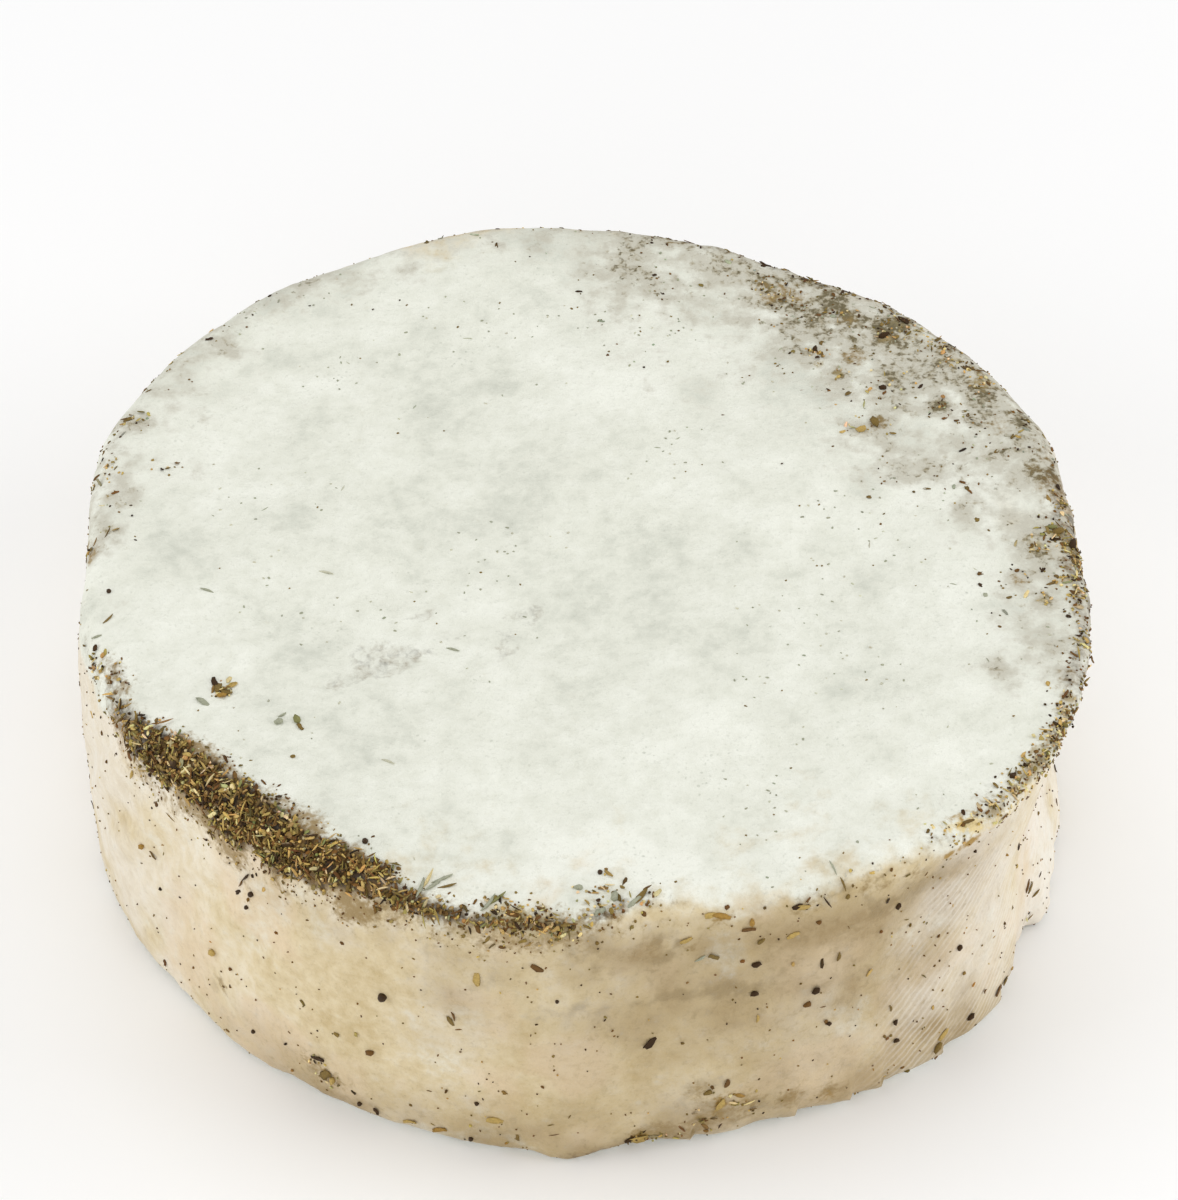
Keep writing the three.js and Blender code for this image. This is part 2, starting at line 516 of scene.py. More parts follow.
def map_skin(mesh, s):
    """Unrolls the skin for its baked picture: two discs above, two strips below."""
    corner_point = np.empty(len(mesh.loops), dtype=np.int64)
    mesh.loops.foreach_get("vertex_index", corner_point)
    sizes = np.empty(len(mesh.polygons), dtype=np.int64)
    mesh.polygons.foreach_get("loop_total", sizes)
    face = np.repeat(np.arange(len(sizes)), sizes)
    count = np.bincount(face)
    middle = np.stack([np.bincount(face, s.points[corner_point, k]) / count for k in range(3)], 1)
    tilt = np.bincount(face, s.normals[corner_point, 2]) / count
    is_top = (tilt > FACING_UP)[face]
    is_base = (tilt < -FACING_UP)[face]
    centre = np.degrees(np.arctan2(middle[:, 1], middle[:, 0]))[face]
    angle = centre + turn_from(s.angle[corner_point], centre)
    point = s.points[corner_point]
    disc = DISC_RADIUS / (RADIUS * 1.05)
    strip = STRIP_LENGTH / (math.pi * RADIUS * 1.02)
    lower = centre > 0
    across = (angle - np.where(lower, 0, -180)) / 180 * math.pi * RADIUS * strip + STRIP_START
    up = s.height[corner_point] * strip * 0.98 + np.where(lower, *STRIP_UP)
    uv = np.stack([across, up], 1)
    uv[is_top] = (point[:, :2] * disc + TOP_DISC)[is_top]
    uv[is_base] = (point[:, :2] * (disc, -disc) + BASE_DISC)[is_base]
    layer = mesh.uv_layers.new(name="OFBake")
    layer.data.foreach_set("uv", uv.astype(np.float32).ravel())


# Materials

# A Mix node's colour sockets, by number, because its sockets share their names
MIX_FIRST = 6
MIX_SECOND = 7
MIX_RESULT = 2


class Graph:
    """A short way to write a material's nodes. Sizes are in millimetres."""

    def __init__(self, name):
        self.material = bpy.data.materials.new(name)
        self.material.use_nodes = True
        self.tree = self.material.node_tree
        self.shader = self.tree.nodes["Principled BSDF"]
        self.place = self.add("ShaderNodeTexCoord").outputs["Object"]

    def add(self, kind, **settings):
        node = self.tree.nodes.new(kind)
        for key, value in settings.items():
            setattr(node, key, value)
        return node

    def put(self, socket, value):
        if isinstance(value, bpy.types.NodeSocket):
            self.tree.links.new(value, socket)
        else:
            socket.default_value = value

    def make(self, kind, inputs, output, **settings):
        """Adds a node with these inputs, by name or number, and returns one of its outputs."""
        node = self.add(kind, **settings)
        for name, value in inputs.items():
            self.put(node.inputs[name], value)
        return node.outputs[output]

    def mask(self, name):
        return self.make("ShaderNodeAttribute", {}, "Fac", attribute_name=name)

    def tint(self, name):
        return self.make("ShaderNodeAttribute", {}, "Color", attribute_name=name)

    def noise(self, size, detail, rough, warp=0.0):
        inputs = {"Vector": self.place, "Scale": 1 / (size * METRES)}
        inputs |= {"Detail": detail, "Roughness": rough, "Distortion": warp}
        return self.make("ShaderNodeTexNoise", inputs, "Fac")

    def cells(self, size):
        inputs = {"Vector": self.place, "Scale": 1 / (size * METRES)}
        return self.make("ShaderNodeTexVoronoi", inputs, "Distance")

    def math(self, operation, first, second):
        return self.make("ShaderNodeMath", {0: first, 1: second}, 0, operation=operation)

    def product(self, first, second):
        return self.math("MULTIPLY", first, second)

    def sum(self, level, wobble, much):
        """A level made uneven by a noise whose middle is 0.5."""
        return self.math("ADD", level, self.range(wobble, -much / 2, much / 2))

    def patch(self, name, wobbles, low, high, gate):
        """A mask's patches, uneven by noises with their amounts, and none where the mask is 0."""
        mask = self.mask(name)
        level = mask
        for wobble, much in wobbles:
            level = self.sum(level, wobble, much)
        return self.product(self.step(level, low, high), self.step(mask, 0.0, gate))

    def step(self, value, low, high):
        """0 below low, 1 above high and smooth between. Low may be the larger."""
        inputs = {"Value": value, "From Min": min(low, high), "From Max": max(low, high)}
        inputs |= {"To Min": float(low > high), "To Max": float(low < high)}
        return self.make("ShaderNodeMapRange", inputs, "Result", interpolation_type="SMOOTHSTEP")

    def range(self, value, low, high):
        """Spreads 0 to 1 over low to high."""
        return self.make("ShaderNodeMapRange", {"Value": value, "To Min": low, "To Max": high}, "Result")

    def blend(self, first, second, share, mode="MIX"):
        inputs = {"Factor": share, MIX_FIRST: first, MIX_SECOND: second}
        return self.make("ShaderNodeMix", inputs, MIX_RESULT, data_type="RGBA", blend_type=mode)

    def paint(self, under, over, share, much):
        """Lays a colour over another, where and as far as a share and an amount say."""
        return self.blend(under, over, self.product(share, much))

    def ramp(self, value, stops):
        node = self.add("ShaderNodeValToRGB")
        self.put(node.inputs["Fac"], value)
        ramp = node.color_ramp
        while len(ramp.elements) < len(stops):
            ramp.elements.new(0.5)
        for element, (position, colour) in zip(ramp.elements, stops):
            element.position = position
            element.color = colour
        return node.outputs["Color"]

    def bump(self, height, depth, strength):
        inputs = {"Height": height, "Distance": depth * METRES, "Strength": strength}
        self.put(self.shader.inputs["Normal"], self.make("ShaderNodeBump", inputs, "Normal"))


MOULD_GREY = srgb(203, 205, 192)
MOULD_MID = srgb(226, 227, 214)
MOULD_WHITE = srgb(238, 239, 228)
UNDER_MOULD = srgb(128, 136, 116)
SIDE_BROWN = srgb(198, 177, 132)
SIDE_BEIGE = srgb(217, 200, 162)
SIDE_CREAM = srgb(231, 220, 196)
SIDE_PINK = srgb(224, 201, 170)
SIDE_GREY = srgb(138, 117, 76)
# Aged rind and painted shade on the front right of the side
SIDE_AGED_AND_SHADED = srgb(160, 137, 96)
# Pale mould streaks and hatch lines, and painted light on the side
STREAK_AND_LIGHT_WHITE = srgb(237, 232, 223)
VEIL_GREY = srgb(192, 188, 172)
VEIL_TAN = srgb(157, 146, 118)
VEIL_OLIVE = srgb(90, 80, 48)
HAZE_BROWN = srgb(146, 120, 70)
# Brown stain, and painted shade in the gaps between the crust's herbs
STAIN_AND_SHADE_BROWN = srgb(108, 80, 34)
STAIN_AND_SHADE_DARK = srgb(44, 26, 5)
UNDER_HERB = srgb(184, 168, 124)
TAN = srgb(156, 118, 20)
PASTE_YELLOW = srgb(222, 202, 150)


def top_colour(g, soft, fine):
    """Soft white and grey blotches with faint grey-green specks under the mould."""
    blotches = g.sum(g.mask("blotch"), soft, 0.55)
    colour = g.ramp(blotches, [(0.22, MOULD_GREY), (0.48, MOULD_MID), (0.75, MOULD_WHITE)])
    colour = g.paint(colour, MOULD_GREY, g.step(fine, 0.56, 0.8), 0.5)
    specks = g.step(g.sum(g.cells(1.4), fine, 0.9), 0.24, 0.02)
    return g.paint(colour, UNDER_MOULD, g.product(g.mask("cluster"), specks), 0.32)


def side_colour(g, soft, fine, grit):
    """Waxy beige with cream and pinkish clouds, grey dirt and painted shade in thin veils, and pale
    streaks with painted light.
    """
    clouds = g.sum(g.mask("cloud"), soft, 0.8)
    colour = g.ramp(clouds, [(0.2, SIDE_BROWN), (0.46, SIDE_BEIGE), (0.76, SIDE_CREAM)])
    colour = g.paint(colour, SIDE_PINK, g.mask("blush"), 0.5)
    # Darker at the front right, partly aged rind and partly painted shade, and low down
    colour = g.paint(colour, SIDE_AGED_AND_SHADED, g.mask("age_and_shade"), g.range(soft, 0.55, 1.35))
    # Thin veils of grey dirt, with painted shade under the front rim and in its crease
    veils = g.step(g.sum(g.mask("dirt_and_shade"), soft, 1.1), 0.25, 0.85)
    colour = g.paint(colour, SIDE_GREY, veils, 0.55)
    colour = g.paint(colour, SIDE_GREY, g.step(fine, 0.58, 0.8), 0.25)
    # Pale mould streaks, and painted light at both ends and under the lip
    colour = g.paint(colour, STREAK_AND_LIGHT_WHITE, g.mask("streak_and_light"), g.range(soft, 0.45, 1.0))
    # Grey mottle where the side is painted darker, partly painted shade
    mottle = g.product(g.step(grit, 0.48, 0.78), g.range(g.mask("age_and_shade"), 0.12, 0.5))
    colour = g.blend(colour, SIDE_GREY, mottle)
    wave = g.math("SINE", g.sum(g.mask("hatch_phase"), soft, 3.0), 0.0)
    lines = g.product(g.step(g.sum(wave, fine, 1.6), -0.2, 1.0), g.mask("hatch"))
    return g.paint(colour, STREAK_AND_LIGHT_WHITE, lines, 0.3)


def rind_material():
    """Mould over waxy side, then grey veils, brown stain with painted shade among the crust's herbs, and
    bare paste.
    """
    g = Graph("rind")
    soft = g.noise(3.0, 4.0, 0.62)
    fine = g.noise(0.9, 2.0, 0.6)
    grit = g.noise(1.7, 3.0, 0.62, 0.4)
    mould = g.step(g.sum(g.mask("mould"), soft, 0.7), 0.08, 0.92)
    colour = g.blend(side_colour(g, soft, fine, grit), top_colour(g, soft, fine), mould)

    veil = g.mask("veil")
    colour = g.paint(colour, VEIL_GREY, g.step(g.sum(veil, soft, 0.9), 0.08, 0.5), 0.85)
    colour = g.paint(colour, VEIL_TAN, g.step(g.sum(veil, grit, 1.5), 0.42, 0.85), 0.74)
    flecks = g.step(g.sum(g.sum(veil, grit, 1.3), fine, 1.2), 0.58, 0.96)
    colour = g.paint(colour, VEIL_OLIVE, flecks, 0.85)
    haze = g.patch("haze", ((grit, 1.3), (fine, 1.0)), 0.16, 1.0, 0.22)
    colour = g.paint(colour, HAZE_BROWN, haze, 0.9)

    under = g.step(g.sum(g.mask("clumped"), grit, 1.3), 0.15, 0.95)
    colour = g.paint(colour, UNDER_HERB, under, 0.75)
    # Brown stain, with painted shade between the herbs in the crust
    stain_and_shade = g.patch("stain_and_shade", ((grit, 1.0),), 0.1, 0.95, 0.15)
    brown = g.blend(STAIN_AND_SHADE_BROWN, STAIN_AND_SHADE_DARK, g.step(soft, 0.42, 0.6))
    colour = g.paint(colour, brown, stain_and_shade, 0.94)
    paste = g.patch("paste", ((grit, 1.2), (fine, 0.7)), 0.25, 0.8, 0.12)
    colour = g.blend(colour, PASTE_YELLOW, paste)
    tan = g.patch("tan", ((grit, 1.1), (fine, 0.6)), 0.12, 0.72, 0.12)
    colour = g.paint(colour, TAN, tan, 0.94)

    g.put(g.shader.inputs["Base Color"], colour)
    g.put(g.shader.inputs["Roughness"], g.range(mould, 0.46, 0.9))
    g.shader.inputs["Specular IOR Level"].default_value = 0.4
    fluff = g.product(fine, g.range(mould, 0.25, 0.9))
    g.bump(g.math("ADD", g.product(soft, 1.7), fluff), 0.34, 0.75)
    return g.material


def herb_material(name, rough, fibre):
    """Dried leaf: each bit's own tint, with finer light and dark fibres in it."""
    g = Graph(name)
    grain = g.noise(fibre, 3.0, 0.6)
    light = g.range(grain, 0.55, 1.45)
    shade = g.add("ShaderNodeCombineColor")
    for channel in shade.inputs:
        g.put(channel, light)
    colour = g.blend(g.tint("tint"), shade.outputs[0], 1.0, "MULTIPLY")
    g.put(g.shader.inputs["Base Color"], colour)
    g.put(g.shader.inputs["Roughness"], g.range(grain, rough - 0.12, rough + 0.12))
    g.shader.inputs["Specular IOR Level"].default_value = 0.3
    g.bump(grain, 0.12, 0.7)
    return g.material


# Bits of herb

OLIVE = (122, 100, 50)
BROWN = (106, 74, 32)
GOLDEN = (182, 154, 88)
DARK = (58, 38, 12)
STRAW = (212, 194, 142)
GREEN = (128, 126, 78)
GREY_GREEN = (158, 160, 138)
PALE = (196, 194, 172)
AMBER = (160, 124, 58)
CRUST_MIX = ((OLIVE, 0.24), (BROWN, 0.24), (GOLDEN, 0.30), (DARK, 0.12), (STRAW, 0.08), (GREEN, 0.02))
LOOSE_MIX = ((OLIVE, 0.34), (BROWN, 0.32), (GOLDEN, 0.14), (DARK, 0.16), (AMBER, 0.04))
BURIED_MIX = ((GREY_GREEN, 0.55), (PALE, 0.35), (OLIVE, 0.1))
HALO_MIX = ((OLIVE, 0.35), (BROWN, 0.35), (GOLDEN, 0.2), (DARK, 0.1))
RIM_MIX = ((OLIVE, 0.4), (BROWN, 0.24), (DARK, 0.2), (GOLDEN, 0.12), (STRAW, 0.04))
CLUMP_MIX = ((OLIVE, 0.26), (BROWN, 0.12), (GOLDEN, 0.26), (DARK, 0.08), (STRAW, 0.28))
VEIL_MIX = ((OLIVE, 0.36), (BROWN, 0.22), (GREY_GREEN, 0.22), (DARK, 0.18), (GOLDEN, 0.02))


# A lump with 20 faces: its width, which is brought to 1, and a little more than its edges then
LUMP_WIDTH = 3.8
LUMP_EDGE = 0.55


def crumb_shape(random):
    """A crumb: a small rough lump with 20 faces."""
    golden = (1 + 5**0.5) / 2
    points = []
    for a in (-1, 1):
        for b in (-golden, golden):
            points += [(0, a, b), (a, b, 0), (b, 0, a)]
    points = np.array(points) / LUMP_WIDTH
    joined = np.linalg.norm(points[:, None] - points[None], axis=2) < LUMP_EDGE
    faces = []
    for i, j, k in combinations(range(len(points)), 3):
        if joined[i, j] and joined[j, k] and joined[i, k]:
            out = np.cross(points[j] - points[i], points[k] - points[i]).dot(points[i]) > 0
            faces.append((i, j, k) if out else (i, k, j))
    return points * random.uniform(0.72, 1.25, (12, 1)), faces


def tube_shape(random, rings, sides, taper, bend):
    """A short rod along X with pointed or blunt ends and a slight bend."""
    points = []
    for ring in range(rings):
        share = ring / (rings - 1)
        thick = 0.5 * (1 - taper * abs(2 * share - 1) ** 2) * random.uniform(0.85, 1.1)
        for side in range(sides):
            turn = 2 * math.pi * side / sides
            arch = bend * (1 - (2 * share - 1) ** 2)
            points.append((share - 0.5, thick * math.cos(turn) + arch, thick * math.sin(turn)))
    faces = [tuple(range(sides))[::-1], tuple(range(len(points) - sides, len(points)))]
    for ring in range(rings - 1):
        for side in range(sides):
            here = ring * sides + side
            after = ring * sides + (side + 1) % sides
            faces.append((here, after, after + sides, here + sides))
    return np.array(points), faces


def flake_shape(random):
    """A scrap of dried leaf: a thin plate, curled along its length and folded in the middle."""
    columns, rows = 4, 3
    curl = random.uniform(-0.5, 0.9)
    fold = random.uniform(0.0, 0.8)
    points = []
    for layer in (1, -1):
        for column in range(columns):
            along = column / (columns - 1) - 0.5
            widest = 1.05 if 0 < column < columns - 1 else random.uniform(0.35, 0.9)
            sides = widest * random.uniform(0.5, 1.1, 2)
            for row in range(rows):
                share = row / (rows - 1) - 0.5
                across = share * sides[int(share > 0)]
                rise = curl * (along**2 - 0.08) * 2 + fold * abs(across) * 1.2
                slip = random.uniform(-0.07, 0.07) if layer == 1 else 0
                points.append((along + slip, across, rise + layer * 0.16))
    layer_size = columns * rows
    faces = []
    for column in range(columns - 1):
        for row in range(rows - 1):
            here = column * rows + row
            quad = (here, here + rows, here + rows + 1, here + 1)
            faces.append(quad)
            faces.append(tuple(layer_size + corner for corner in quad[::-1]))
    edge = [column * rows for column in range(columns)]
    edge += [(columns - 1) * rows + row for row in range(1, rows)]
    edge += [column * rows + rows - 1 for column in range(columns - 2, -1, -1)]
    edge += [row for row in range(rows - 2, 0, -1)]
    for here, after in zip(edge, edge[1:] + edge[:1]):
        faces.append((after, here, layer_size + here, layer_size + after))
    return np.array(points), faces


def seed_shape(random):
    """A round seed with a faint ridge."""
    rings, sides = 6, 8
    points = [(0, 0, -0.5)]
    for ring in range(1, rings):
        polar = math.pi * ring / rings
        for side in range(sides):
            turn = 2 * math.pi * side / sides
            wide = 0.5 * math.sin(polar) * (1 + 0.05 * math.cos(3 * turn))
            points.append((wide * math.cos(turn), wide * math.sin(turn), -0.5 * math.cos(polar)))
    points.append((0, 0, 0.5))
    last = len(points) - 1
    faces = []
    for side in range(sides):
        after = (side + 1) % sides
        faces.append((0, 1 + after, 1 + side))
        faces.append((last, last - sides + side, last - sides + after))
        for ring in range(rings - 2):
            low = 1 + ring * sides
            faces.append((low + side, low + after, low + sides + after, low + sides + side))
    return np.array(points), faces


class Bits:
    """Bits of one kind, gathered here and then made into one mesh."""

    def __init__(self, name, shapes, material):
        self.name = name
        self.shapes = shapes
        self.material = material
        self.rows = []

    def add(self, place, normal, heading, size, tint, tilt):
        """Adds bits lying on a surface: heading is along it, size is (N, 3), tilt in degrees."""
        self.rows.append((place, normal, heading, size, tint, tilt))

    def count(self):
        return sum(len(row[0]) for row in self.rows)

    def frames(self, normal, heading, tilt):
        """Three axes for each bit, tipped about its own length and across it."""
        along = heading - (heading * normal).sum(1, keepdims=True) * normal
        along /= np.linalg.norm(along, axis=1, keepdims=True)
        across = np.cross(normal, along)
        roll = np.radians(tilt) * rng.uniform(-1, 1, len(tilt))
        pitch = np.radians(tilt) * rng.uniform(-1, 1, len(tilt))
        lean, upright = np.sin(roll)[:, None], np.cos(roll)[:, None]
        across, normal = across * upright + normal * lean, normal * upright - across * lean
        lean, upright = np.sin(pitch)[:, None], np.cos(pitch)[:, None]
        along, normal = along * upright + normal * lean, normal * upright - along * lean
        return along, across, normal

    def make(self):
        """Joins all bits into one object with a tint for each and a square of the map for each."""
        place, normal, heading, size, tint, tilt = (np.concatenate(part) for part in zip(*self.rows))
        axes = self.frames(normal, heading, tilt)
        chosen = rng.integers(len(self.shapes), size=len(place))
        side = math.ceil(math.sqrt(len(place)))
        points, corners, totals, tints, maps = [], [], [], [], []
        start = 0
        for kind, (shape, faces) in enumerate(self.shapes):
            which = np.nonzero(chosen == kind)[0]
            local = shape[None] * size[which][:, None]
            turned = sum(local[..., k:k + 1] * axes[k][which][:, None] for k in range(3))
            world = place[which][:, None] + turned
            world[..., 2] = np.maximum(world[..., 2], 0)
            points.append(world.reshape(-1, 3))
            tints.append(np.repeat(tint[which], len(shape), axis=0))
            flat = np.concatenate(faces)
            offsets = start + np.arange(len(which)) * len(shape)
            corners.append((offsets[:, None] + flat[None]).ravel())
            totals.append(np.tile([len(face) for face in faces], len(which)))
            cell = np.stack([which % side, which // side], 1)[:, None]
            inner = (shape[:, :2] - shape[:, :2].min(0)) / np.ptp(shape[:, :2], axis=0)
            square = cell + SQUARE_EDGE + (1 - 2 * SQUARE_EDGE) * inner[flat][None]
            maps.append((square / side).reshape(-1, 2))
            start += len(which) * len(shape)
        parts = (points, corners, totals, tints, maps)
        return self.build_mesh(*(np.concatenate(part) for part in parts))

    def build_mesh(self, points, corners, totals, tints, maps):
        mesh = bpy.data.meshes.new(self.name)
        mesh.vertices.add(len(points))
        mesh.vertices.foreach_set("co", (points * METRES).ravel())
        mesh.loops.add(len(corners))
        mesh.loops.foreach_set("vertex_index", corners.astype(np.int32))
        mesh.polygons.add(len(totals))
        starts = np.concatenate([[0], np.cumsum(totals)[:-1]])
        mesh.polygons.foreach_set("loop_start", starts.astype(np.int32))
        mesh.update(calc_edges=True)
        mesh.validate()
        colours = mesh.attributes.new("tint", "FLOAT_COLOR", "POINT")
        colours.data.foreach_set("color", np.hstack([tints, np.ones((len(tints), 1))]).ravel())
        mesh.uv_layers.new(name="OFBake").data.foreach_set("uv", maps.astype(np.float32).ravel())
        mesh.materials.append(self.material)
        return add_object(self.name, mesh)


def tints_from(mix, count, spread):
    """One linear colour for each bit, drawn from a mix of colours and varied a little."""
    colours = np.array([srgb(*colour)[:3] for colour, share in mix])
    shares = np.array([share for colour, share in mix])
    drawn = colours[rng.choice(len(mix), size=count, p=shares / shares.sum())]
    lighter = np.exp(np.clip(rng.normal(0, spread, (count, 1)), -0.7, 0.26))
    return drawn * lighter * np.exp(rng.normal(0, spread / 5, (count, 3)))


class Ground:
    """Picks places on the skin at random, more of them where a density is high."""

    def __init__(self, mesh, s):
        mesh.calc_loop_triangles()
        corners = np.empty(len(mesh.loop_triangles) * 3, dtype=np.int64)
        mesh.loop_triangles.foreach_get("vertices", corners)
        self.triangles = corners.reshape(-1, 3)
        self.s = s
        a, b, c = (s.points[self.triangles[:, k]] for k in range(3))
        self.area = np.linalg.norm(np.cross(b - a, c - a), axis=1) / 2

    def pick(self, density):
        """Places and normals, as many on average as the density for each square millimetre says."""
        weight = self.area * np.maximum(density, 0)[self.triangles].mean(1)
        count = int(round(weight.sum()))
        chosen = rng.choice(len(weight), size=count, p=weight / weight.sum())
        share = rng.dirichlet((1, 1, 1), count)[:, :, None]
        corners = self.triangles[chosen]
        place = (self.s.points[corners] * share).sum(1)
        normal = (self.s.normals[corners] * share).sum(1)
        return place, normal / np.linalg.norm(normal, axis=1, keepdims=True)


def scatter(ground, bits, density, length, width, thick, mix, tilt, lift, spread):
    """Strews bits over the skin. Each range is (smallest, largest) in millimetres."""
    place, normal = ground.pick(density)
    count = len(place)
    long = length[0] + (length[1] - length[0]) * rng.random(count) ** 1.7
    size = np.stack([long, rng.uniform(*width, count), rng.uniform(*thick, count)], 1)
    heading = rng.normal(size=(count, 3))
    tilts = np.full(count, tilt)
    raised = place + normal * rng.uniform(*lift, count)[:, None]
    bits.add(raised, normal, heading, size, tints_from(mix, count, spread), tilts)


# The view

def camera_place():
    """Where the camera stands, and the way from what it looks at back to it."""
    lift = math.radians(CAMERA_ELEVATION)
    back = Vector((0, -math.cos(lift), math.sin(lift)))
    return Vector(CAMERA_TARGET) + back * CAMERA_DISTANCE, back


def make_camera():
    place, back = camera_place()
    data = bpy.data.cameras.new("camera")
    data.sensor_width = SENSOR
    data.lens = FOCAL_PIXELS / PHOTO_HEIGHT * SENSOR
    data.clip_start = 0.05
    data.clip_end = 20
    camera = add_object("camera", data)
    stand(camera, place * METRES, back)
    bpy.context.scene.camera = camera


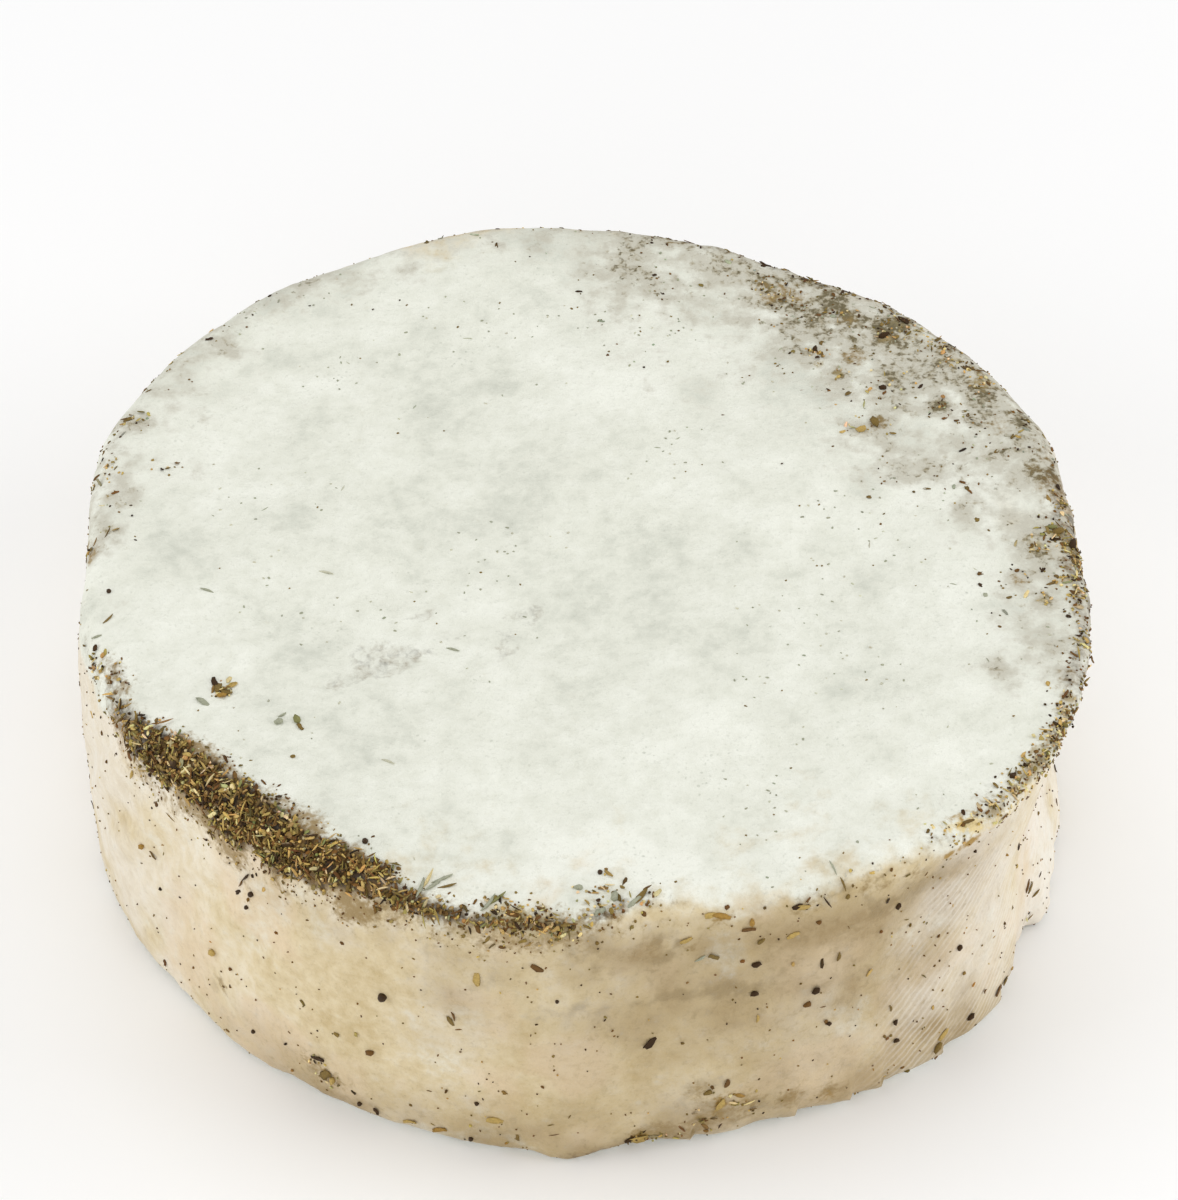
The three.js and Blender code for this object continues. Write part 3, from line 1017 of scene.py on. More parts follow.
# Soft blots of colour, where the photograph shows them: pixel x and y, radius in
# millimetres, and strength.
BLOTS = {
    "veil": (
        (780, 288, 4.5, 1), (795, 298, 3.5, 0.8), (765, 300, 3.5, 0.7), (808, 281, 2, 1),
        (828, 310, 4, 0.9), (850, 322, 4.5, 1), (885, 337, 4, 1.2), (900, 325, 3, 1.1),
        (868, 340, 4, 0.7), (855, 358, 4, 0.8), (813, 348, 2.2, 1), (818, 363, 2.2, 0.9),
        (837, 373, 2.8, 0.8), (900, 388, 5.5, 0.9), (885, 372, 3.5, 0.9), (905, 410, 4, 0.6),
        (852, 425, 3, 0.8), (878, 424, 4, 0.9), (880, 445, 3, 0.5), (942, 405, 3.6, 0.8),
        (925, 345, 4.5, 0.35), (948, 362, 4, 0.5), (998, 422, 5.5, 0.9), (985, 400, 4, 0.6),
        (1010, 445, 4, 0.7), (1042, 470, 6, 0.8), (1025, 480, 4, 0.6), (968, 490, 3.5, 0.5),
        (940, 470, 3.5, 0.4), (905, 470, 3, 0.4), (1040, 548, 5, 0.6), (1062, 565, 4.5, 0.9),
        (1022, 580, 2.8, 0.9), (1046, 600, 3, 0.8), (1058, 645, 4, 0.5), (1056, 676, 4.5, 0.7),
        (1015, 700, 3.5, 0.5), (1003, 668, 4.5, 1.4), (1012, 684, 3, 0.8), (232, 350, 3.5, 0.5),
        (245, 385, 5, 0.3), (285, 303, 3, 0.5), (312, 288, 3.5, 0.5), (345, 282, 4, 0.5),
        (408, 270, 3.5, 0.6), (133, 422, 3.5, 0.6), (112, 470, 3.5, 0.6), (160, 462, 4, 0.5),
        (195, 470, 4, 0.5), (128, 502, 4, 0.5), (112, 530, 3, 0.5), (93, 552, 2.5, 0.8),
        (117, 605, 2.5, 0.5), (130, 630, 2.5, 0.4), (978, 512, 9, 0.55), (962, 486, 3, 0.4),
        (960, 542, 4, 0.3), (880, 512, 5, 0.25), (975, 795, 3, 0.4), (945, 800, 3, 0.35),
        (995, 775, 3, 0.4), (1004, 760, 2.4, 0.2), (925, 812, 2.4, 0.35), (820, 380, 4, 0.55),
        (840, 395, 4, 0.5), (828, 306, 5, 1.2),
    ),
    # Grey dirt and smudges, with painted shade under the front rim, in its crease and under the lip
    "dirt_and_shade": (
        (570, 935, 5, 0.6), (615, 945, 5, 0.6), (600, 975, 4, 0.4), (690, 955, 6, 0.35),
        (812, 922, 4, 0.25), (855, 902, 2.4, 0.7), (882, 890, 2.2, 0.8), (846, 893, 1.6, 1),
        (868, 900, 1.8, 1), (893, 902, 1.8, 1.1), (878, 914, 2, 1.1), (860, 922, 2, 0.9),
        (875, 925, 4.5, 0.7), (905, 908, 4.5, 0.6), (930, 885, 3.5, 0.5), (895, 930, 2.4, 0.9),
        (686, 992, 2.4, 1.1), (704, 992, 2.4, 1.2), (722, 991, 2.4, 1.2), (740, 989, 2.2, 1.1),
        (757, 986, 2, 0.9), (771, 983, 1.8, 0.6), (664, 997, 2.2, 0.6), (640, 1003, 2.4, 0.4),
        (590, 938, 2, 0.7), (600, 960, 2.2, 0.6), (628, 968, 2, 0.7), (652, 946, 2, 0.6),
        (580, 985, 2.2, 0.5), (612, 988, 1.8, 0.6), (548, 962, 1.8, 0.5), (640, 1040, 2.2, 0.5),
        (800, 955, 2.2, 0.6), (784, 972, 2, 0.5), (830, 948, 2, 0.6), (742, 948, 2, 0.5),
        (712, 938, 1.8, 0.6), (775, 938, 1.8, 0.5), (700, 1020, 5, 0.3), (800, 1030, 4, 0.4),
        (580, 1060, 5, 0.25), (860, 1045, 5, 0.3), (540, 1010, 6, 0.2), (720, 1115, 7, 1.1),
        (750, 1105, 6, 1), (695, 1120, 6, 1), (660, 1130, 4.5, 1.1), (790, 1098, 4.5, 1),
        (825, 1090, 4, 1), (620, 1140, 5, 0.7), (700, 1090, 5, 0.7), (315, 1070, 4, 0.7),
        (335, 1080, 3.5, 0.6), (215, 985, 2.5, 0.7), (600, 1035, 5, 0.4), (300, 865, 4, 0.5),
        (350, 905, 5, 0.5), (265, 850, 5, 0.5), (450, 925, 5, 0.4), (1030, 900, 3, 0.5),
        (1030, 925, 3, 0.6), (842, 1070, 4, 0.5), (955, 1000, 3, 0.4), (975, 980, 2.5, 0.4),
        (560, 1010, 3, 0.4), (830, 985, 3, 0.3),
    ),
    # Darker blots on the front of the side: partly aged rind, partly painted shade
    "aged_and_shaded": (
        (440, 912, 5, 0.2), (450, 952, 9, 0.38), (500, 938, 8, 0.36), (505, 972, 9, 0.42),
        (545, 950, 7, 0.3), (460, 1000, 9, 0.58), (500, 1020, 8, 0.24), (470, 1042, 8, 0.26),
        (550, 978, 7, 0.22), (612, 930, 4, 0.6), (382, 930, 5, 0.32), (340, 932, 5, 0.42),
        (255, 882, 5, 0.36), (275, 895, 5, 0.6), (370, 912, 5, 0.34), (410, 950, 6, 0.18),
        (930, 1022, 6, 0.4), (960, 1004, 6, 0.36), (902, 1046, 5, 0.24), (984, 985, 4, 0.16),
        (572, 962, 9, 0.4), (620, 948, 7, 0.52), (602, 1000, 9, 0.3), (540, 962, 7, 0.42),
        (560, 1012, 8, 0.26), (645, 1008, 8, 0.22), (490, 928, 6, 0.3), (620, 1045, 9, 0.2),
        (690, 1050, 8, 0.14), (585, 925, 5, 0.3), (560, 1050, 7, 0.16), (512, 938, 5, 0.55),
        (548, 944, 5, 0.52), (622, 938, 5, 0.62), (590, 942, 5, 0.48), (262, 888, 4, 0.6),
        (432, 1034, 7, 0.3), (862, 996, 6, 0.3), (315, 915, 6, 0.42),
    ),
    "pale": (
        (345, 1000, 10, 1), (388, 1022, 9, 1), (345, 1052, 8, 1), (300, 1000, 8, 0.6), (262, 1012, 6, 1),
        (340, 968, 8, 0.6), (650, 1092, 6, 0.6), (600, 1085, 7, 0.5),
    ),
    "white": (
        (600, 858, 8, 0.8), (640, 858, 8, 1), (680, 860, 8, 1), (650, 880, 6, 1), (620, 838, 9, 0.6),
        (720, 862, 7, 0.6), (560, 855, 7, 0.6), (700, 888, 5, 0.8),
    ),
    "mould": (
        (648, 893, 2.4, 0.8), (672, 895, 2.6, 0.9), (700, 893, 2.8, 0.9), (728, 892, 3, 0.9),
        (752, 890, 4, 1.1), (778, 888, 2.8, 0.8), (800, 882, 2.8, 0.7), (826, 882, 3.2, 0.8),
        (610, 900, 2.4, 0.7), (590, 908, 2, 0.6),
    ),
    "haze": (
        (515, 922, 2.6, 0.9), (545, 931, 2.6, 0.9), (568, 933, 3, 1), (588, 926, 2.4, 0.6),
        (808, 905, 3.5, 0.45), (722, 920, 2.4, 0.6), (690, 948, 3, 0.4), (650, 950, 4, 0.3),
        (720, 1110, 5, 0.7), (698, 1124, 4, 0.9), (745, 1106, 4, 0.8), (700, 1092, 3, 0.6),
        (790, 1099, 3.2, 0.8), (828, 1092, 3, 0.8), (640, 1134, 2.6, 1), (662, 1132, 3, 0.8),
        (315, 1068, 4, 0.6), (335, 1080, 3, 0.7), (222, 985, 2, 0.9), (870, 887, 3, 0.6),
        (915, 874, 2.2, 0.8), (884, 886, 2, 0.9), (93, 554, 2.2, 0.9), (88, 548, 1.6, 0.8),
        (112, 672, 3, 0.7), (122, 690, 2.6, 0.8), (1025, 920, 2.6, 0.5), (250, 890, 4.5, 0.3),
        (286, 905, 4, 0.25), (855, 357, 3, 0.7), (878, 424, 2.4, 0.8), (1000, 425, 3.5, 0.5),
        (1040, 470, 3.5, 0.4), (932, 348, 3.4, 0.2),
        (955, 360, 3.2, 0.25), (982, 383, 3, 0.5), (1020, 581, 1.8, 0.8), (770, 296, 2.4, 0.8),
        (785, 289, 2.4, 0.9), (798, 297, 2.2, 0.8), (762, 287, 2, 0.8), (808, 281, 1.6, 0.9),
        (850, 318, 2.6, 0.6), (886, 337, 2, 0.8), (838, 372, 2, 0.6), (814, 350, 1.4, 0.7),
    ),
    "tan": (
        (949, 855, 1.1, 1.3), (960, 849, 0.7, 0.6), (970, 843, 1.1, 1.4), (977, 838, 0.7, 0.8),
        (951, 820, 1.2, 0.5), (962, 817, 1.2, 0.5), (973, 815, 1.2, 0.5), (722, 918, 1.4, 0.5),
        (722, 1103, 1.8, 0.6), (828, 1096, 1.4, 0.5), (640, 1136, 1.4, 0.5), (325, 1072, 1.4, 0.5),
    ),
    "paste": ((950, 827, 1.7, 0.7), (960, 826, 1.8, 0.85), (971, 823, 1.7, 0.85), (980, 820, 1.4, 0.6)),
}
# Clumps of herb away from the main crust, in the same way.
CLUMPS = (
    (886, 337, 1.6, 0.7), (814, 350, 1, 0.8), (819, 364, 1, 0.7), (837, 374, 1.4, 0.6),
    (850, 316, 2.4, 0.25), (772, 294, 2, 0.2), (795, 295, 2, 0.2), (942, 405, 2, 0.3),
    (615, 1028, 3.4, 0.08), (610, 1042, 2, 0.1), (900, 322, 2.6, 0.5), (916, 332, 2.4, 0.45),
    (934, 344, 2.6, 0.45), (952, 358, 2.4, 0.5), (968, 366, 2.2, 0.5), (984, 382, 2.6, 0.65),
    (808, 281, 1.4, 0.8), (1062, 500, 2.2, 0.7), (1056, 532, 2.4, 1), (1070, 545, 2.6, 1.1),
    (1078, 562, 2.2, 1), (1036, 545, 2.4, 0.6), (1066, 580, 2.2, 0.7), (1078, 592, 1.8, 0.8),
    (1045, 600, 1.4, 0.7), (1080, 640, 1.4, 0.8), (1069, 698, 1.8, 1), (1066, 712, 2, 1),
    (1060, 728, 2, 1), (1053, 742, 2.2, 1), (1043, 756, 2.2, 1.1), (1035, 766, 2.2, 1.1),
    (1025, 778, 2, 0.9), (1014, 788, 2, 0.9), (1004, 798, 1.8, 0.8), (992, 808, 1.8, 0.7),
    (978, 816, 1.6, 0.5), (964, 820, 1.4, 0.45), (950, 824, 1.3, 0.4), (938, 832, 1.4, 0.25),
    (1022, 765, 1.6, 0.2), (1000, 785, 1.6, 0.3), (1014, 777, 1, 1.4), (132, 420, 2, 0.4),
    (108, 472, 2, 0.4), (106, 500, 1.8, 0.4), (110, 530, 1.4, 0.5), (170, 468, 3, 0.15),
    (126, 504, 2.4, 0.2), (94, 555, 1.6, 0.3), (100, 668, 2, 0.5), (112, 676, 2, 0.5),
    (640, 1136, 2, 0.6), (655, 1137, 1.4, 0.8), (700, 1122, 4, 0.16), (742, 1105, 4, 0.18),
    (500, 914, 2.6, 1.2), (518, 920, 2.8, 1.3), (534, 928, 2.4, 1.1), (325, 1075, 2.4, 0.3),
    (312, 1060, 2.4, 0.2), (222, 690, 1.6, 0.9), (572, 927, 2, 0.8), (542, 926, 2.6, 1.2),
    (558, 930, 2.2, 1), (580, 920, 1.6, 0.5), (890, 382, 4, 0.15), (868, 424, 3.5, 0.2),
    (820, 355, 3, 0.15), (946, 852, 0.8, 0.6), (1026, 918, 2.4, 0.15), (610, 893, 3.5, 0.2),
    (595, 900, 3, 0.3),
)


class Sight:
    """Finds the place on the skin that a pixel of the photograph shows."""

    def __init__(self, skin, s):
        tree_faces = [tuple(face.vertices) for face in skin.data.polygons]
        self.tree = BVHTree.FromPolygons([tuple(point) for point in s.points], tree_faces)
        self.eye, back = camera_place()
        self.forward = -back
        self.right = Vector((1, 0, 0))
        self.up = self.right.cross(self.forward)

    def hit(self, x, y):
        across = (x - PHOTO_WIDTH / 2) / FOCAL_PIXELS
        rise = (PHOTO_HEIGHT / 2 - y) / FOCAL_PIXELS
        ray = (self.forward + self.right * across + self.up * rise).normalized()
        return self.tree.ray_cast(self.eye, ray)[:2]

    def blots(self, points, rows):
        """How strongly the rows' soft spots cover each point, from 0 up."""
        level = np.zeros(len(points))
        for x, y, radius, strength in rows:
            place = self.hit(x, y)[0]
            if place is not None:
                away = ((points - np.array(place)) ** 2).sum(1) / radius**2
                level = np.maximum(level, strength * np.exp(-away))
        return level


# Single bits that stand out: pixel x and y in the photograph, length and width in
# millimetres, the way it points in the photograph in degrees, and its colour.
LEAVES = (
    (218, 688, 2.8, 1.4, 70, OLIVE), (226, 692, 2.6, 1.4, 160, OLIVE), (232, 686, 2.4, 1.1, 30, GOLDEN),
    (214, 682, 2.2, 1.2, 100, DARK), (222, 696, 2.4, 1.4, 10, AMBER), (229, 680, 1.8, 0.9, 60, STRAW),
    (203, 702, 3, 1.2, 150, GREY_GREEN), (279, 722, 2.2, 1.6, 10, GREY_GREEN),
    (297, 720, 2.4, 1.6, 120, GREEN), (300, 727, 2, 0.9, 130, OLIVE), (293, 757, 1.2, 1, 0, OLIVE),
    (371, 1052, 2.6, 1.5, 20, BROWN), (477, 979, 3, 1.4, 95, GOLDEN), (451, 1021, 3, 0.9, 120, OLIVE),
    (537, 968, 2.6, 1.2, 150, BROWN), (495, 1120, 3.2, 1.6, 165, GOLDEN), (410, 1121, 3, 1.3, 0, GOLDEN),
    (440, 1129, 3, 1.4, 0, AMBER), (650, 1042, 3, 1.5, 35, DARK), (639, 1137, 4, 2, 5, GOLDEN),
    (629, 1139, 2.4, 1.4, 20, DARK), (722, 916, 3.4, 1.2, 170, AMBER), (711, 915, 2.4, 1.2, 10, GOLDEN),
    (714, 956, 2.2, 1.2, 155, OLIVE), (756, 964, 2.2, 1.3, 15, DARK), (754, 993, 1.8, 1.4, 0, DARK),
    (749, 929, 2.6, 1, 5, BROWN), (752, 922, 1.8, 1.2, 90, AMBER), (793, 935, 2.6, 1.2, 25, GOLDEN),
    (802, 907, 3, 1.2, 10, GOLDEN), (816, 990, 2.4, 1.5, 65, DARK), (807, 1004, 2, 1.4, 20, BROWN),
    (829, 1023, 1.6, 1.1, 0, DARK), (895, 1022, 1.8, 1.2, 90, DARK), (896, 1040, 1.6, 1.1, 0, DARK),
    (720, 1104, 3.2, 1.4, 60, GOLDEN), (708, 1092, 2.2, 1.4, 20, OLIVE), (727, 1083, 2.4, 1, 80, BROWN),
    (740, 1095, 2.2, 0.9, 170, AMBER), (318, 1058, 3, 1.2, 160, DARK), (326, 1074, 3.4, 1.8, 30, OLIVE),
    (333, 1080, 2.6, 1.6, 80, GOLDEN), (959, 947, 1.8, 1.4, 80, DARK), (1018, 846, 2.2, 1, 80, DARK),
    (1030, 888, 2.8, 1, 70, OLIVE), (943, 1034, 3, 1.6, 60, GOLDEN), (937, 1046, 3.2, 1.8, 55, OLIVE),
    (1005, 980, 3, 1.4, 50, OLIVE), (998, 990, 2.6, 1.4, 60, BROWN), (970, 1016, 2.2, 1.6, 60, DARK),
    (615, 897, 2.4, 1.4, 80, GREY_GREEN), (641, 896, 3.6, 1.2, 45, OLIVE),
    (634, 902, 3.2, 0.9, 40, GREY_GREEN), (579, 888, 2.2, 1.4, 0, GREY_GREEN),
    (600, 912, 2.4, 1.2, 30, GREY_GREEN), (512, 914, 2.4, 1, 160, BROWN), (862, 430, 3, 2, 40, GOLDEN),
    (875, 423, 3.2, 2, 120, OLIVE), (883, 388, 2, 1.4, 0, DARK), (1059, 532, 3, 2, 30, OLIVE),
    (1072, 545, 3.4, 2, 80, DARK), (1053, 528, 2.6, 1.6, 0, GREEN), (903, 321, 2.6, 1.4, 150, DARK),
    (884, 336, 2.6, 1.6, 20, DARK), (815, 349, 1.8, 1.2, 70, DARK), (1013, 776, 1.8, 1.4, 40, DARK),
    (963, 825, 1.2, 0.9, 20, BROWN), (1017, 571, 1.2, 0.8, 20, BROWN), (848, 896, 1.4, 1.1, 80, OLIVE),
    (797, 906, 2, 1, 20, DARK), (819, 922, 1.4, 1.1, 0, BROWN), (761, 941, 1.8, 1, 30, OLIVE),
    (686, 940, 2.4, 1, 20, GOLDEN), (898, 905, 1.8, 1.2, 70, DARK), (253, 876, 0.9, 0.8, 0, DARK),
    (142, 846, 1.6, 1.4, 30, AMBER), (213, 952, 2.4, 1.8, 10, GOLDEN),
)
NEEDLES = (
    (246, 877, 4, 0.6, 40, DARK), (241, 883, 2.4, 0.5, 60, BROWN), (427, 880, 5, 0.7, 55, STRAW),
    (434, 884, 5.2, 0.7, 35, GREY_GREEN), (442, 879, 4.4, 0.7, 20, GREY_GREEN),
    (447, 886, 3.6, 0.6, 10, OLIVE), (420, 888, 4.8, 0.8, 70, GREY_GREEN),
    (488, 903, 4.6, 0.8, 50, GREY_GREEN), (497, 899, 4.2, 0.7, 35, GREEN),
    (453, 1016, 2.6, 0.5, 110, BROWN), (132, 774, 2.6, 0.7, 80, GOLDEN),
    (97, 637, 2.4, 0.5, 20, GREY_GREEN), (108, 619, 2.8, 0.5, 40, OLIVE),
    (207, 591, 3, 0.5, 165, GREY_GREEN), (326, 573, 3, 0.5, 165, PALE),
    (453, 650, 2.8, 0.5, 165, GREY_GREEN), (282, 715, 2, 0.5, 30, GREY_GREEN),
    (388, 762, 2.8, 0.5, 160, PALE), (833, 868, 3.2, 0.4, 118, GREY_GREEN),
    (843, 884, 3, 0.5, 112, OLIVE), (890, 1008, 2, 0.5, 100, OLIVE), (757, 1018, 2.2, 0.6, 85, GOLDEN),
    (838, 956, 2.4, 0.7, 75, OLIVE), (1027, 886, 3, 0.6, 75, BROWN), (1035, 893, 2.6, 0.5, 50, OLIVE),
    (700, 958, 2.4, 0.6, 30, GREY_GREEN),
)
SEEDS = (
    (383, 996, 1.8), (252, 894, 1.2), (247, 907, 0.9), (477, 1103, 0.9), (109, 592, 1), (365, 842, 1.2),
    (600, 873, 1), (557, 1001, 0.8), (1012, 776, 1), (360, 1103, 1), (471, 1138, 1), (254, 1031, 0.9),
)


# How far a single bit is tipped at most, in degrees, the pixels from its middle to the point
# that shows its heading, and the width, as a share of its length, above which it is a crumb
SINGLE_TILT = 8.0
AHEAD_PIXELS = 6
STOCKY = 0.55


def place_singles(sight, crumbs, leaves, needles, seeds):
    """Puts the single bits where the photograph shows them. The stocky ones are crumbs."""
    stocky = [row for row in LEAVES if row[3] > STOCKY * row[2]]
    flat = [row for row in LEAVES if row[3] <= STOCKY * row[2]]
    for bits, rows, thick in ((crumbs, stocky, 0.6), (leaves, flat, 0.4), (needles, NEEDLES, 1.0)):
        for x, y, length, width, way, colour in rows:
            place, normal = sight.hit(x, y)
            step_x = AHEAD_PIXELS * math.cos(math.radians(way))
            step_y = AHEAD_PIXELS * math.sin(math.radians(way))
            ahead = sight.hit(x + step_x, y - step_y)[0]
            if place is None:
                continue
            heading = (ahead - place) if ahead is not None else Vector((1, 0, 0.1))
            size = (length, width, width * thick)
            add_single(bits, place + normal * 0.3 * width * thick, normal, heading, size, colour)
    for x, y, size in SEEDS:
        place, normal = sight.hit(x, y)
        if place is not None:
            raised = place + normal * 0.25 * size
            add_single(seeds, raised, normal, Vector((1, 0.2, 0.1)), (size,) * 3, DARK)


def add_single(bits, place, normal, heading, size, colour):
    one = [np.array([value]) for value in (place, normal, heading, size, srgb(*colour)[:3])]
    bits.add(*one, np.array([SINGLE_TILT]))


def halo_round(s):
    """A looser sprinkling round the crust, from 0 to 1."""
    cover, inwards, downwards = crust_at(s.angle)
    reach = np.maximum(s.inward / (inwards + 3.0), s.down / (downwards + 7.0))
    fade = 1 - smoothstep(0.35, 1.1, reach + 0.3 * s.noise(6.0, 4))
    return cover * fade * (s.height > CRUST_ABOVE)


def herb_clumps(s):
    """Where the herbs lie in clumps, from 0 to 1."""
    return smoothstep(-0.1, 0.5, s.noise(7.0, 101))


def round_the_back(s):
    """Where the rim's herbs lie flat and loose."""
    return s.sector(-6, 176, 6)


def sprinkle_crust(strew, s, clumped, crumbs, leaves, needles, specks):
    """The thick crust, the thin line along the lip, and the clumps away from both."""
    crust = s.crust_cover()
    in_crust = crust * smoothstep(0.12, 0.75, crust + 0.5 * herb_clumps(s))
    lip = s.sector(-54, -6, 6)
    thick = in_crust * (1 - 0.88 * lip) * (1 - round_the_back(s))
    strew(crumbs, 2.3 * thick, (0.5, 1.3), (0.4, 0.9), (0.35, 0.8), CRUST_MIX, 60, (-0.1, 0.5), 0.35)
    strew(leaves, 0.8 * thick, (1.0, 2.4), (0.45, 0.95), (0.25, 0.45), CRUST_MIX, 40, (0.1, 0.8), 0.35)
    strew(needles, 0.6 * thick, (1.4, 3.4), (0.26, 0.5), (0.26, 0.45), CRUST_MIX, 30, (0.2, 0.9), 0.35)
    strew(specks, 0.8 * lip * crust, (0.3, 0.8), (0.3, 0.6), (0.25, 0.5), LOOSE_MIX, 40, (0.0, 0.2), 0.3)
    strew(crumbs, 1.6 * clumped, (0.4, 1.0), (0.3, 0.7), (0.3, 0.6), CLUMP_MIX, 50, (-0.15, 0.3), 0.35)
    strew(leaves, 0.5 * clumped, (0.8, 2.2), (0.45, 0.9), (0.25, 0.4), CLUMP_MIX, 30, (-0.1, 0.4), 0.35)
    strew(needles, 0.2 * clumped, (1.2, 2.8), (0.25, 0.4), (0.25, 0.4), CLUMP_MIX, 25, (0.0, 0.5), 0.3)


def sprinkle_rim(strew, s, crumbs, leaves, needles, specks):
    """The rim round the back, and a looser sprinkling round the crust."""
    crust = s.crust_cover()
    behind = round_the_back(s)
    bare = behind * crust * (0.25 + 1.5 * herb_clumps(s))
    strew(crumbs, 0.6 * bare, (0.5, 1.3), (0.4, 1.0), (0.3, 0.5), RIM_MIX, 20, (-0.1, 0.1), 0.3)
    strew(leaves, 0.25 * bare, (1.0, 2.6), (0.6, 1.3), (0.25, 0.4), RIM_MIX, 12, (-0.05, 0.1), 0.3)
    strew(needles, 0.08 * bare, (1.4, 3.0), (0.26, 0.4), (0.26, 0.4), RIM_MIX, 10, (0.0, 0.2), 0.3)
    halo = halo_round(s) * (1 - crust) * (1 - 0.6 * behind)
    strew(specks, 0.6 * halo, (0.3, 0.9), (0.25, 0.6), (0.2, 0.4), HALO_MIX, 30, (-0.05, 0.12), 0.25)
    strew(leaves, 0.06 * halo, (0.8, 1.8), (0.4, 0.9), (0.25, 0.4), HALO_MIX, 15, (-0.05, 0.15), 0.25)


def sprinkle_side(strew, s, crumbs, leaves, needles, specks, seeds):
    """The side, with more herbs low down and just under the rim."""
    drift = smoothstep(-0.25, 0.7, s.noise(21.0, 102))
    low = np.exp(-s.height / 4.5) * s.is_side
    high = np.exp(-np.maximum(s.down, 0) / 9.0) * s.is_side
    on_side = s.is_side * (0.008 + 0.012 * drift) + 0.06 * low * (0.2 + drift) + 0.012 * high
    strew(specks, 2.0 * on_side, (0.3, 0.8), (0.25, 0.5), (0.2, 0.4), LOOSE_MIX, 30, (0.0, 0.15), 0.3)
    strew(leaves, 0.15 * on_side, (0.9, 2.2), (0.5, 1.0), (0.25, 0.5), LOOSE_MIX, 12, (0.0, 0.2), 0.25)
    strew(crumbs, 0.16 * on_side, (0.8, 1.5), (0.6, 1.0), (0.4, 0.8), LOOSE_MIX, 30, (0.0, 0.2), 0.25)
    strew(needles, 0.12 * on_side, (1.0, 2.6), (0.2, 0.4), (0.2, 0.35), LOOSE_MIX, 8, (0.0, 0.1), 0.25)
    strew(seeds, 0.003 * on_side, (0.6, 1.1), (0.6, 1.0), (0.6, 1.0), ((DARK, 1.0),), 90, (0.1, 0.3), 0.2)


def sprinkle_top(strew, s, veil, leaves, needles, specks):
    """Herbs sunk in the mould, and those in its grey veil."""
    beds = smoothstep(0.05, 0.6, s.noise(17.0, 103)) * (s.is_top + 0.5 * s.is_base)
    strew(specks, 0.05 * beds, (0.4, 1.0), (0.3, 0.6), (0.2, 0.35), BURIED_MIX, 10, (-0.05, 0.05), 0.08)
    strew(needles, 0.002 * beds, (1.2, 2.6), (0.25, 0.4), (0.2, 0.3), BURIED_MIX, 5, (-0.05, 0.05), 0.08)
    in_veil = veil * smoothstep(-0.2, 0.6, s.noise(8.0, 104))
    strew(specks, 0.42 * in_veil, (0.4, 1.0), (0.3, 0.7), (0.2, 0.4), VEIL_MIX, 20, (-0.05, 0.08), 0.25)
    strew(leaves, 0.07 * in_veil, (1.0, 2.2), (0.5, 1.0), (0.2, 0.4), VEIL_MIX, 10, (-0.1, 0.06), 0.2)


def sprinkle(ground, clumped, veil, crumbs, leaves, needles, specks, seeds):
    """All the herbs that lie at random: the crust first, then the rest of the wheel."""
    strew = partial(scatter, ground)
    s = ground.s
    sprinkle_crust(strew, s, clumped, crumbs, leaves, needles, specks)
    sprinkle_rim(strew, s, crumbs, leaves, needles, specks)
    sprinkle_side(strew, s, crumbs, leaves, needles, specks, seeds)
    sprinkle_top(strew, s, veil, leaves, needles, specks)


# Light and floor

# Square area lights that face the wheel, in metres and watts
SOFTBOXES = (
    # name, place, width, power
    ("light_above", (-0.25, 0.25, 1.5), 1.3, 5.0),
    ("light_left", (-1.4, -0.35, 0.6), 0.9, 5.0),
    ("light_right", (1.4, -0.1, 0.5), 0.9, 8.0),
    ("light_front", (-0.3, -1.6, 0.7), 1.2, 4.0),
)
SKY_STRENGTH = 0.66


def make_floor():
    mesh = bpy.data.meshes.new("floor")
    half = FLOOR_HALF
    corners = [(-half, -half, 0), (half, -half, 0), (half, half, 0), (-half, half, 0)]
    mesh.from_pydata(corners, [], [(0, 1, 2, 3)])
    g = Graph("floor")
    g.shader.inputs["Base Color"].default_value = (0.95, 0.95, 0.95, 1)
    g.shader.inputs["Roughness"].default_value = 0.9
    g.shader.inputs["Specular IOR Level"].default_value = 0.0
    mesh.materials.append(g.material)
    floor = add_object("floor", mesh)
    floor.location = (0, 0, -FLOOR_DROP)


def make_light():
    world = bpy.data.worlds.new("studio")
    world.use_nodes = True
    sky = world.node_tree.nodes["Background"]
    sky.inputs["Color"].default_value = (1, 1, 1, 1)
    sky.inputs["Strength"].default_value = SKY_STRENGTH
    bpy.context.scene.world = world
    for name, place, width, power in SOFTBOXES:
        data = bpy.data.lights.new(name, "AREA")
        data.size = width
        data.energy = power
        stand(add_object(name, data), Vector(place), Vector(place))


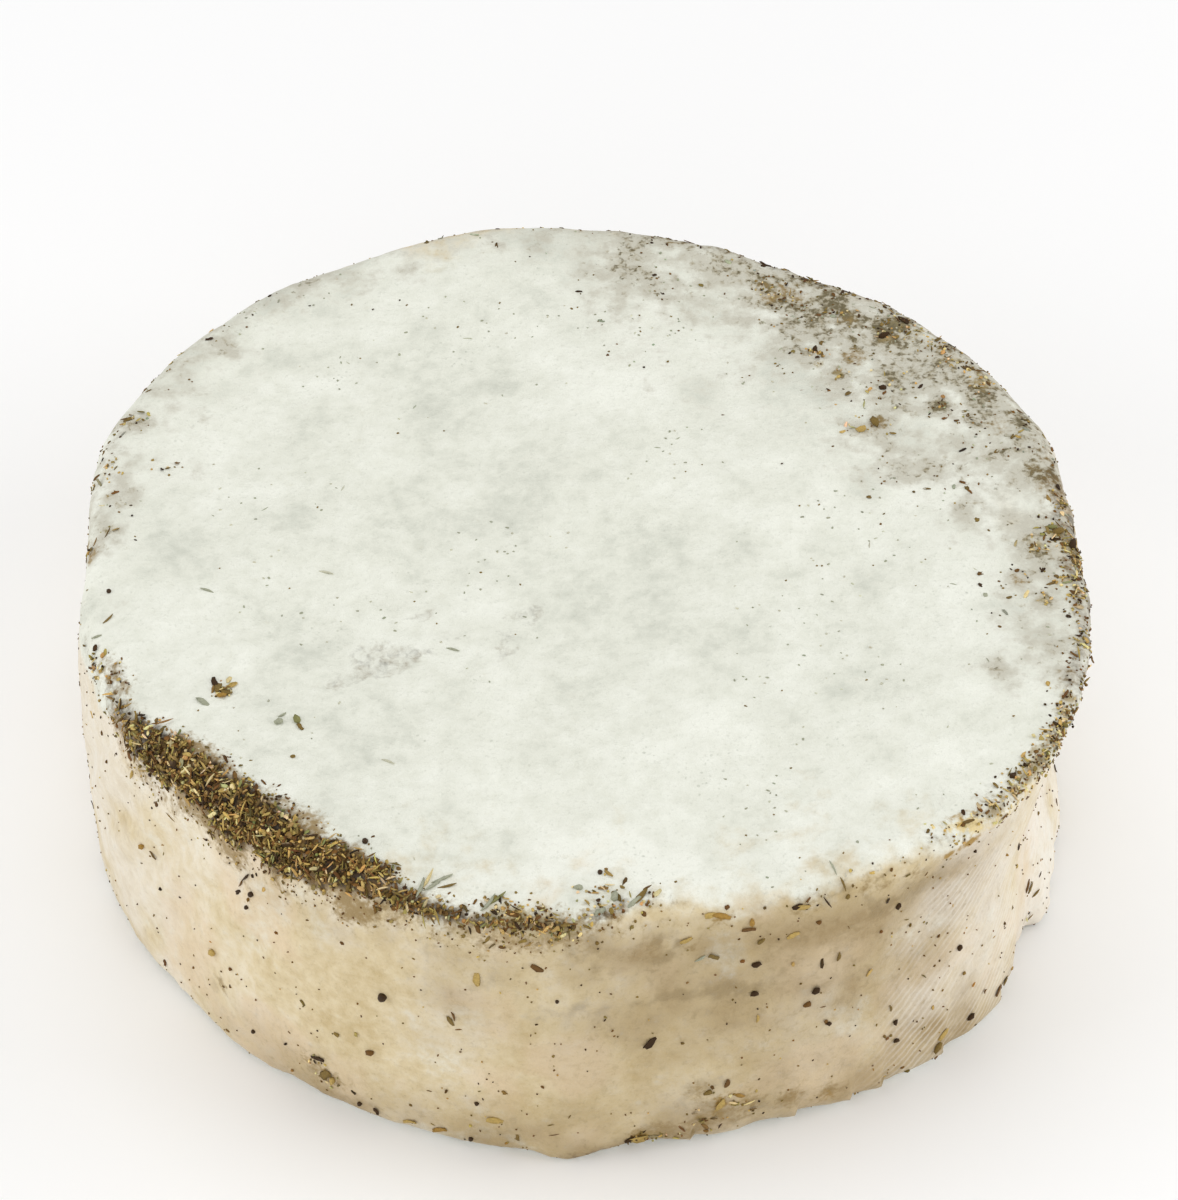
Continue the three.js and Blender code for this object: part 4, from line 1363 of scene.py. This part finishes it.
def make_cheese():
    skin = remeshed_wheel()
    s = shape_skin(skin.data)
    crust = s.crust_cover()
    sight = Sight(skin, s)
    blots = {kind: sight.blots(s.points, rows) for kind, rows in BLOTS.items()}
    veil = veil_mask(s, blots["veil"])
    clumped = sight.blots(s.points, CLUMPS)
    masks = {
        "mould": mould_mask(s, blots["mould"]),
        "blotch": blotch_field(s, blots["white"]),
        "cluster": cluster_mask(s),
        "veil": veil,
        "stain_and_shade": stain_and_shade_mask(s, crust),
        "paste": paste_mask(s, blots["paste"]),
        "tan": blots["tan"],
        "cloud": cloud_field(s, blots["pale"]),
        "blush": blush_mask(s),
        "age_and_shade": age_and_shade_mask(s, blots["aged_and_shaded"]),
        "dirt_and_shade": dirt_and_shade_mask(s, blots["dirt_and_shade"]),
        "streak_and_light": streak_and_light_mask(s),
        "haze": haze_mask(s, blots["haze"]),
        "hatch": hatch_mask(s),
        "hatch_phase": hatch_phase(s),
        "clumped": clumped,
    }
    for name, values in masks.items():
        store_mask(skin.data, name, values)
    map_skin(skin.data, s)
    skin.data.shade_smooth()
    skin.data.materials.clear()
    skin.data.materials.append(rind_material())
    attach(skin, "root")
    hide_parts(NODE)
    return skin, s, sight, veil, clumped


# How many shapes the bits of each kind are drawn from
CRUMB_SHAPES = 12
SPECK_SHAPES = 6
LEAF_SHAPES = 16
NEEDLE_SHAPES = 8


def make_herbs(skin, s, sight, veil, clumped):
    leaf = herb_material("dried_leaf", 0.78, 0.5)
    crumb = herb_material("dried_crumb", 0.86, 0.35)
    stalk = herb_material("dried_stalk", 0.7, 0.3)
    husk = herb_material("seed_husk", 0.45, 0.6)
    shapes = np.random.default_rng(SEED + 1)
    crumbs = Bits("herb_crumbs", [crumb_shape(shapes) for _ in range(CRUMB_SHAPES)], crumb)
    specks = Bits("herb_specks", [crumb_shape(shapes) for _ in range(SPECK_SHAPES)], crumb)
    leaves = Bits("herb_leaves", [flake_shape(shapes) for _ in range(LEAF_SHAPES)], leaf)
    rods = [tube_shape(shapes, 4, 5, 0.7, shapes.uniform(-0.5, 0.5)) for _ in range(NEEDLE_SHAPES)]
    needles = Bits("herb_needles", rods, stalk)
    seeds = Bits("herb_seeds", [seed_shape(shapes)], husk)
    ground = Ground(skin.data, s)
    sprinkle(ground, clumped, veil, crumbs, leaves, needles, specks, seeds)
    place_singles(sight, crumbs, leaves, needles, seeds)
    for bits in (crumbs, specks, leaves, needles, seeds):
        piece = bits.make()
        print(bits.name, bits.count(), "bits,", len(piece.data.polygons), "faces")
        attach(piece, "root")


make_camera()
make_floor()
make_light()
bpy.context.scene.view_settings.view_transform = "Standard"
make_herbs(*make_cheese())
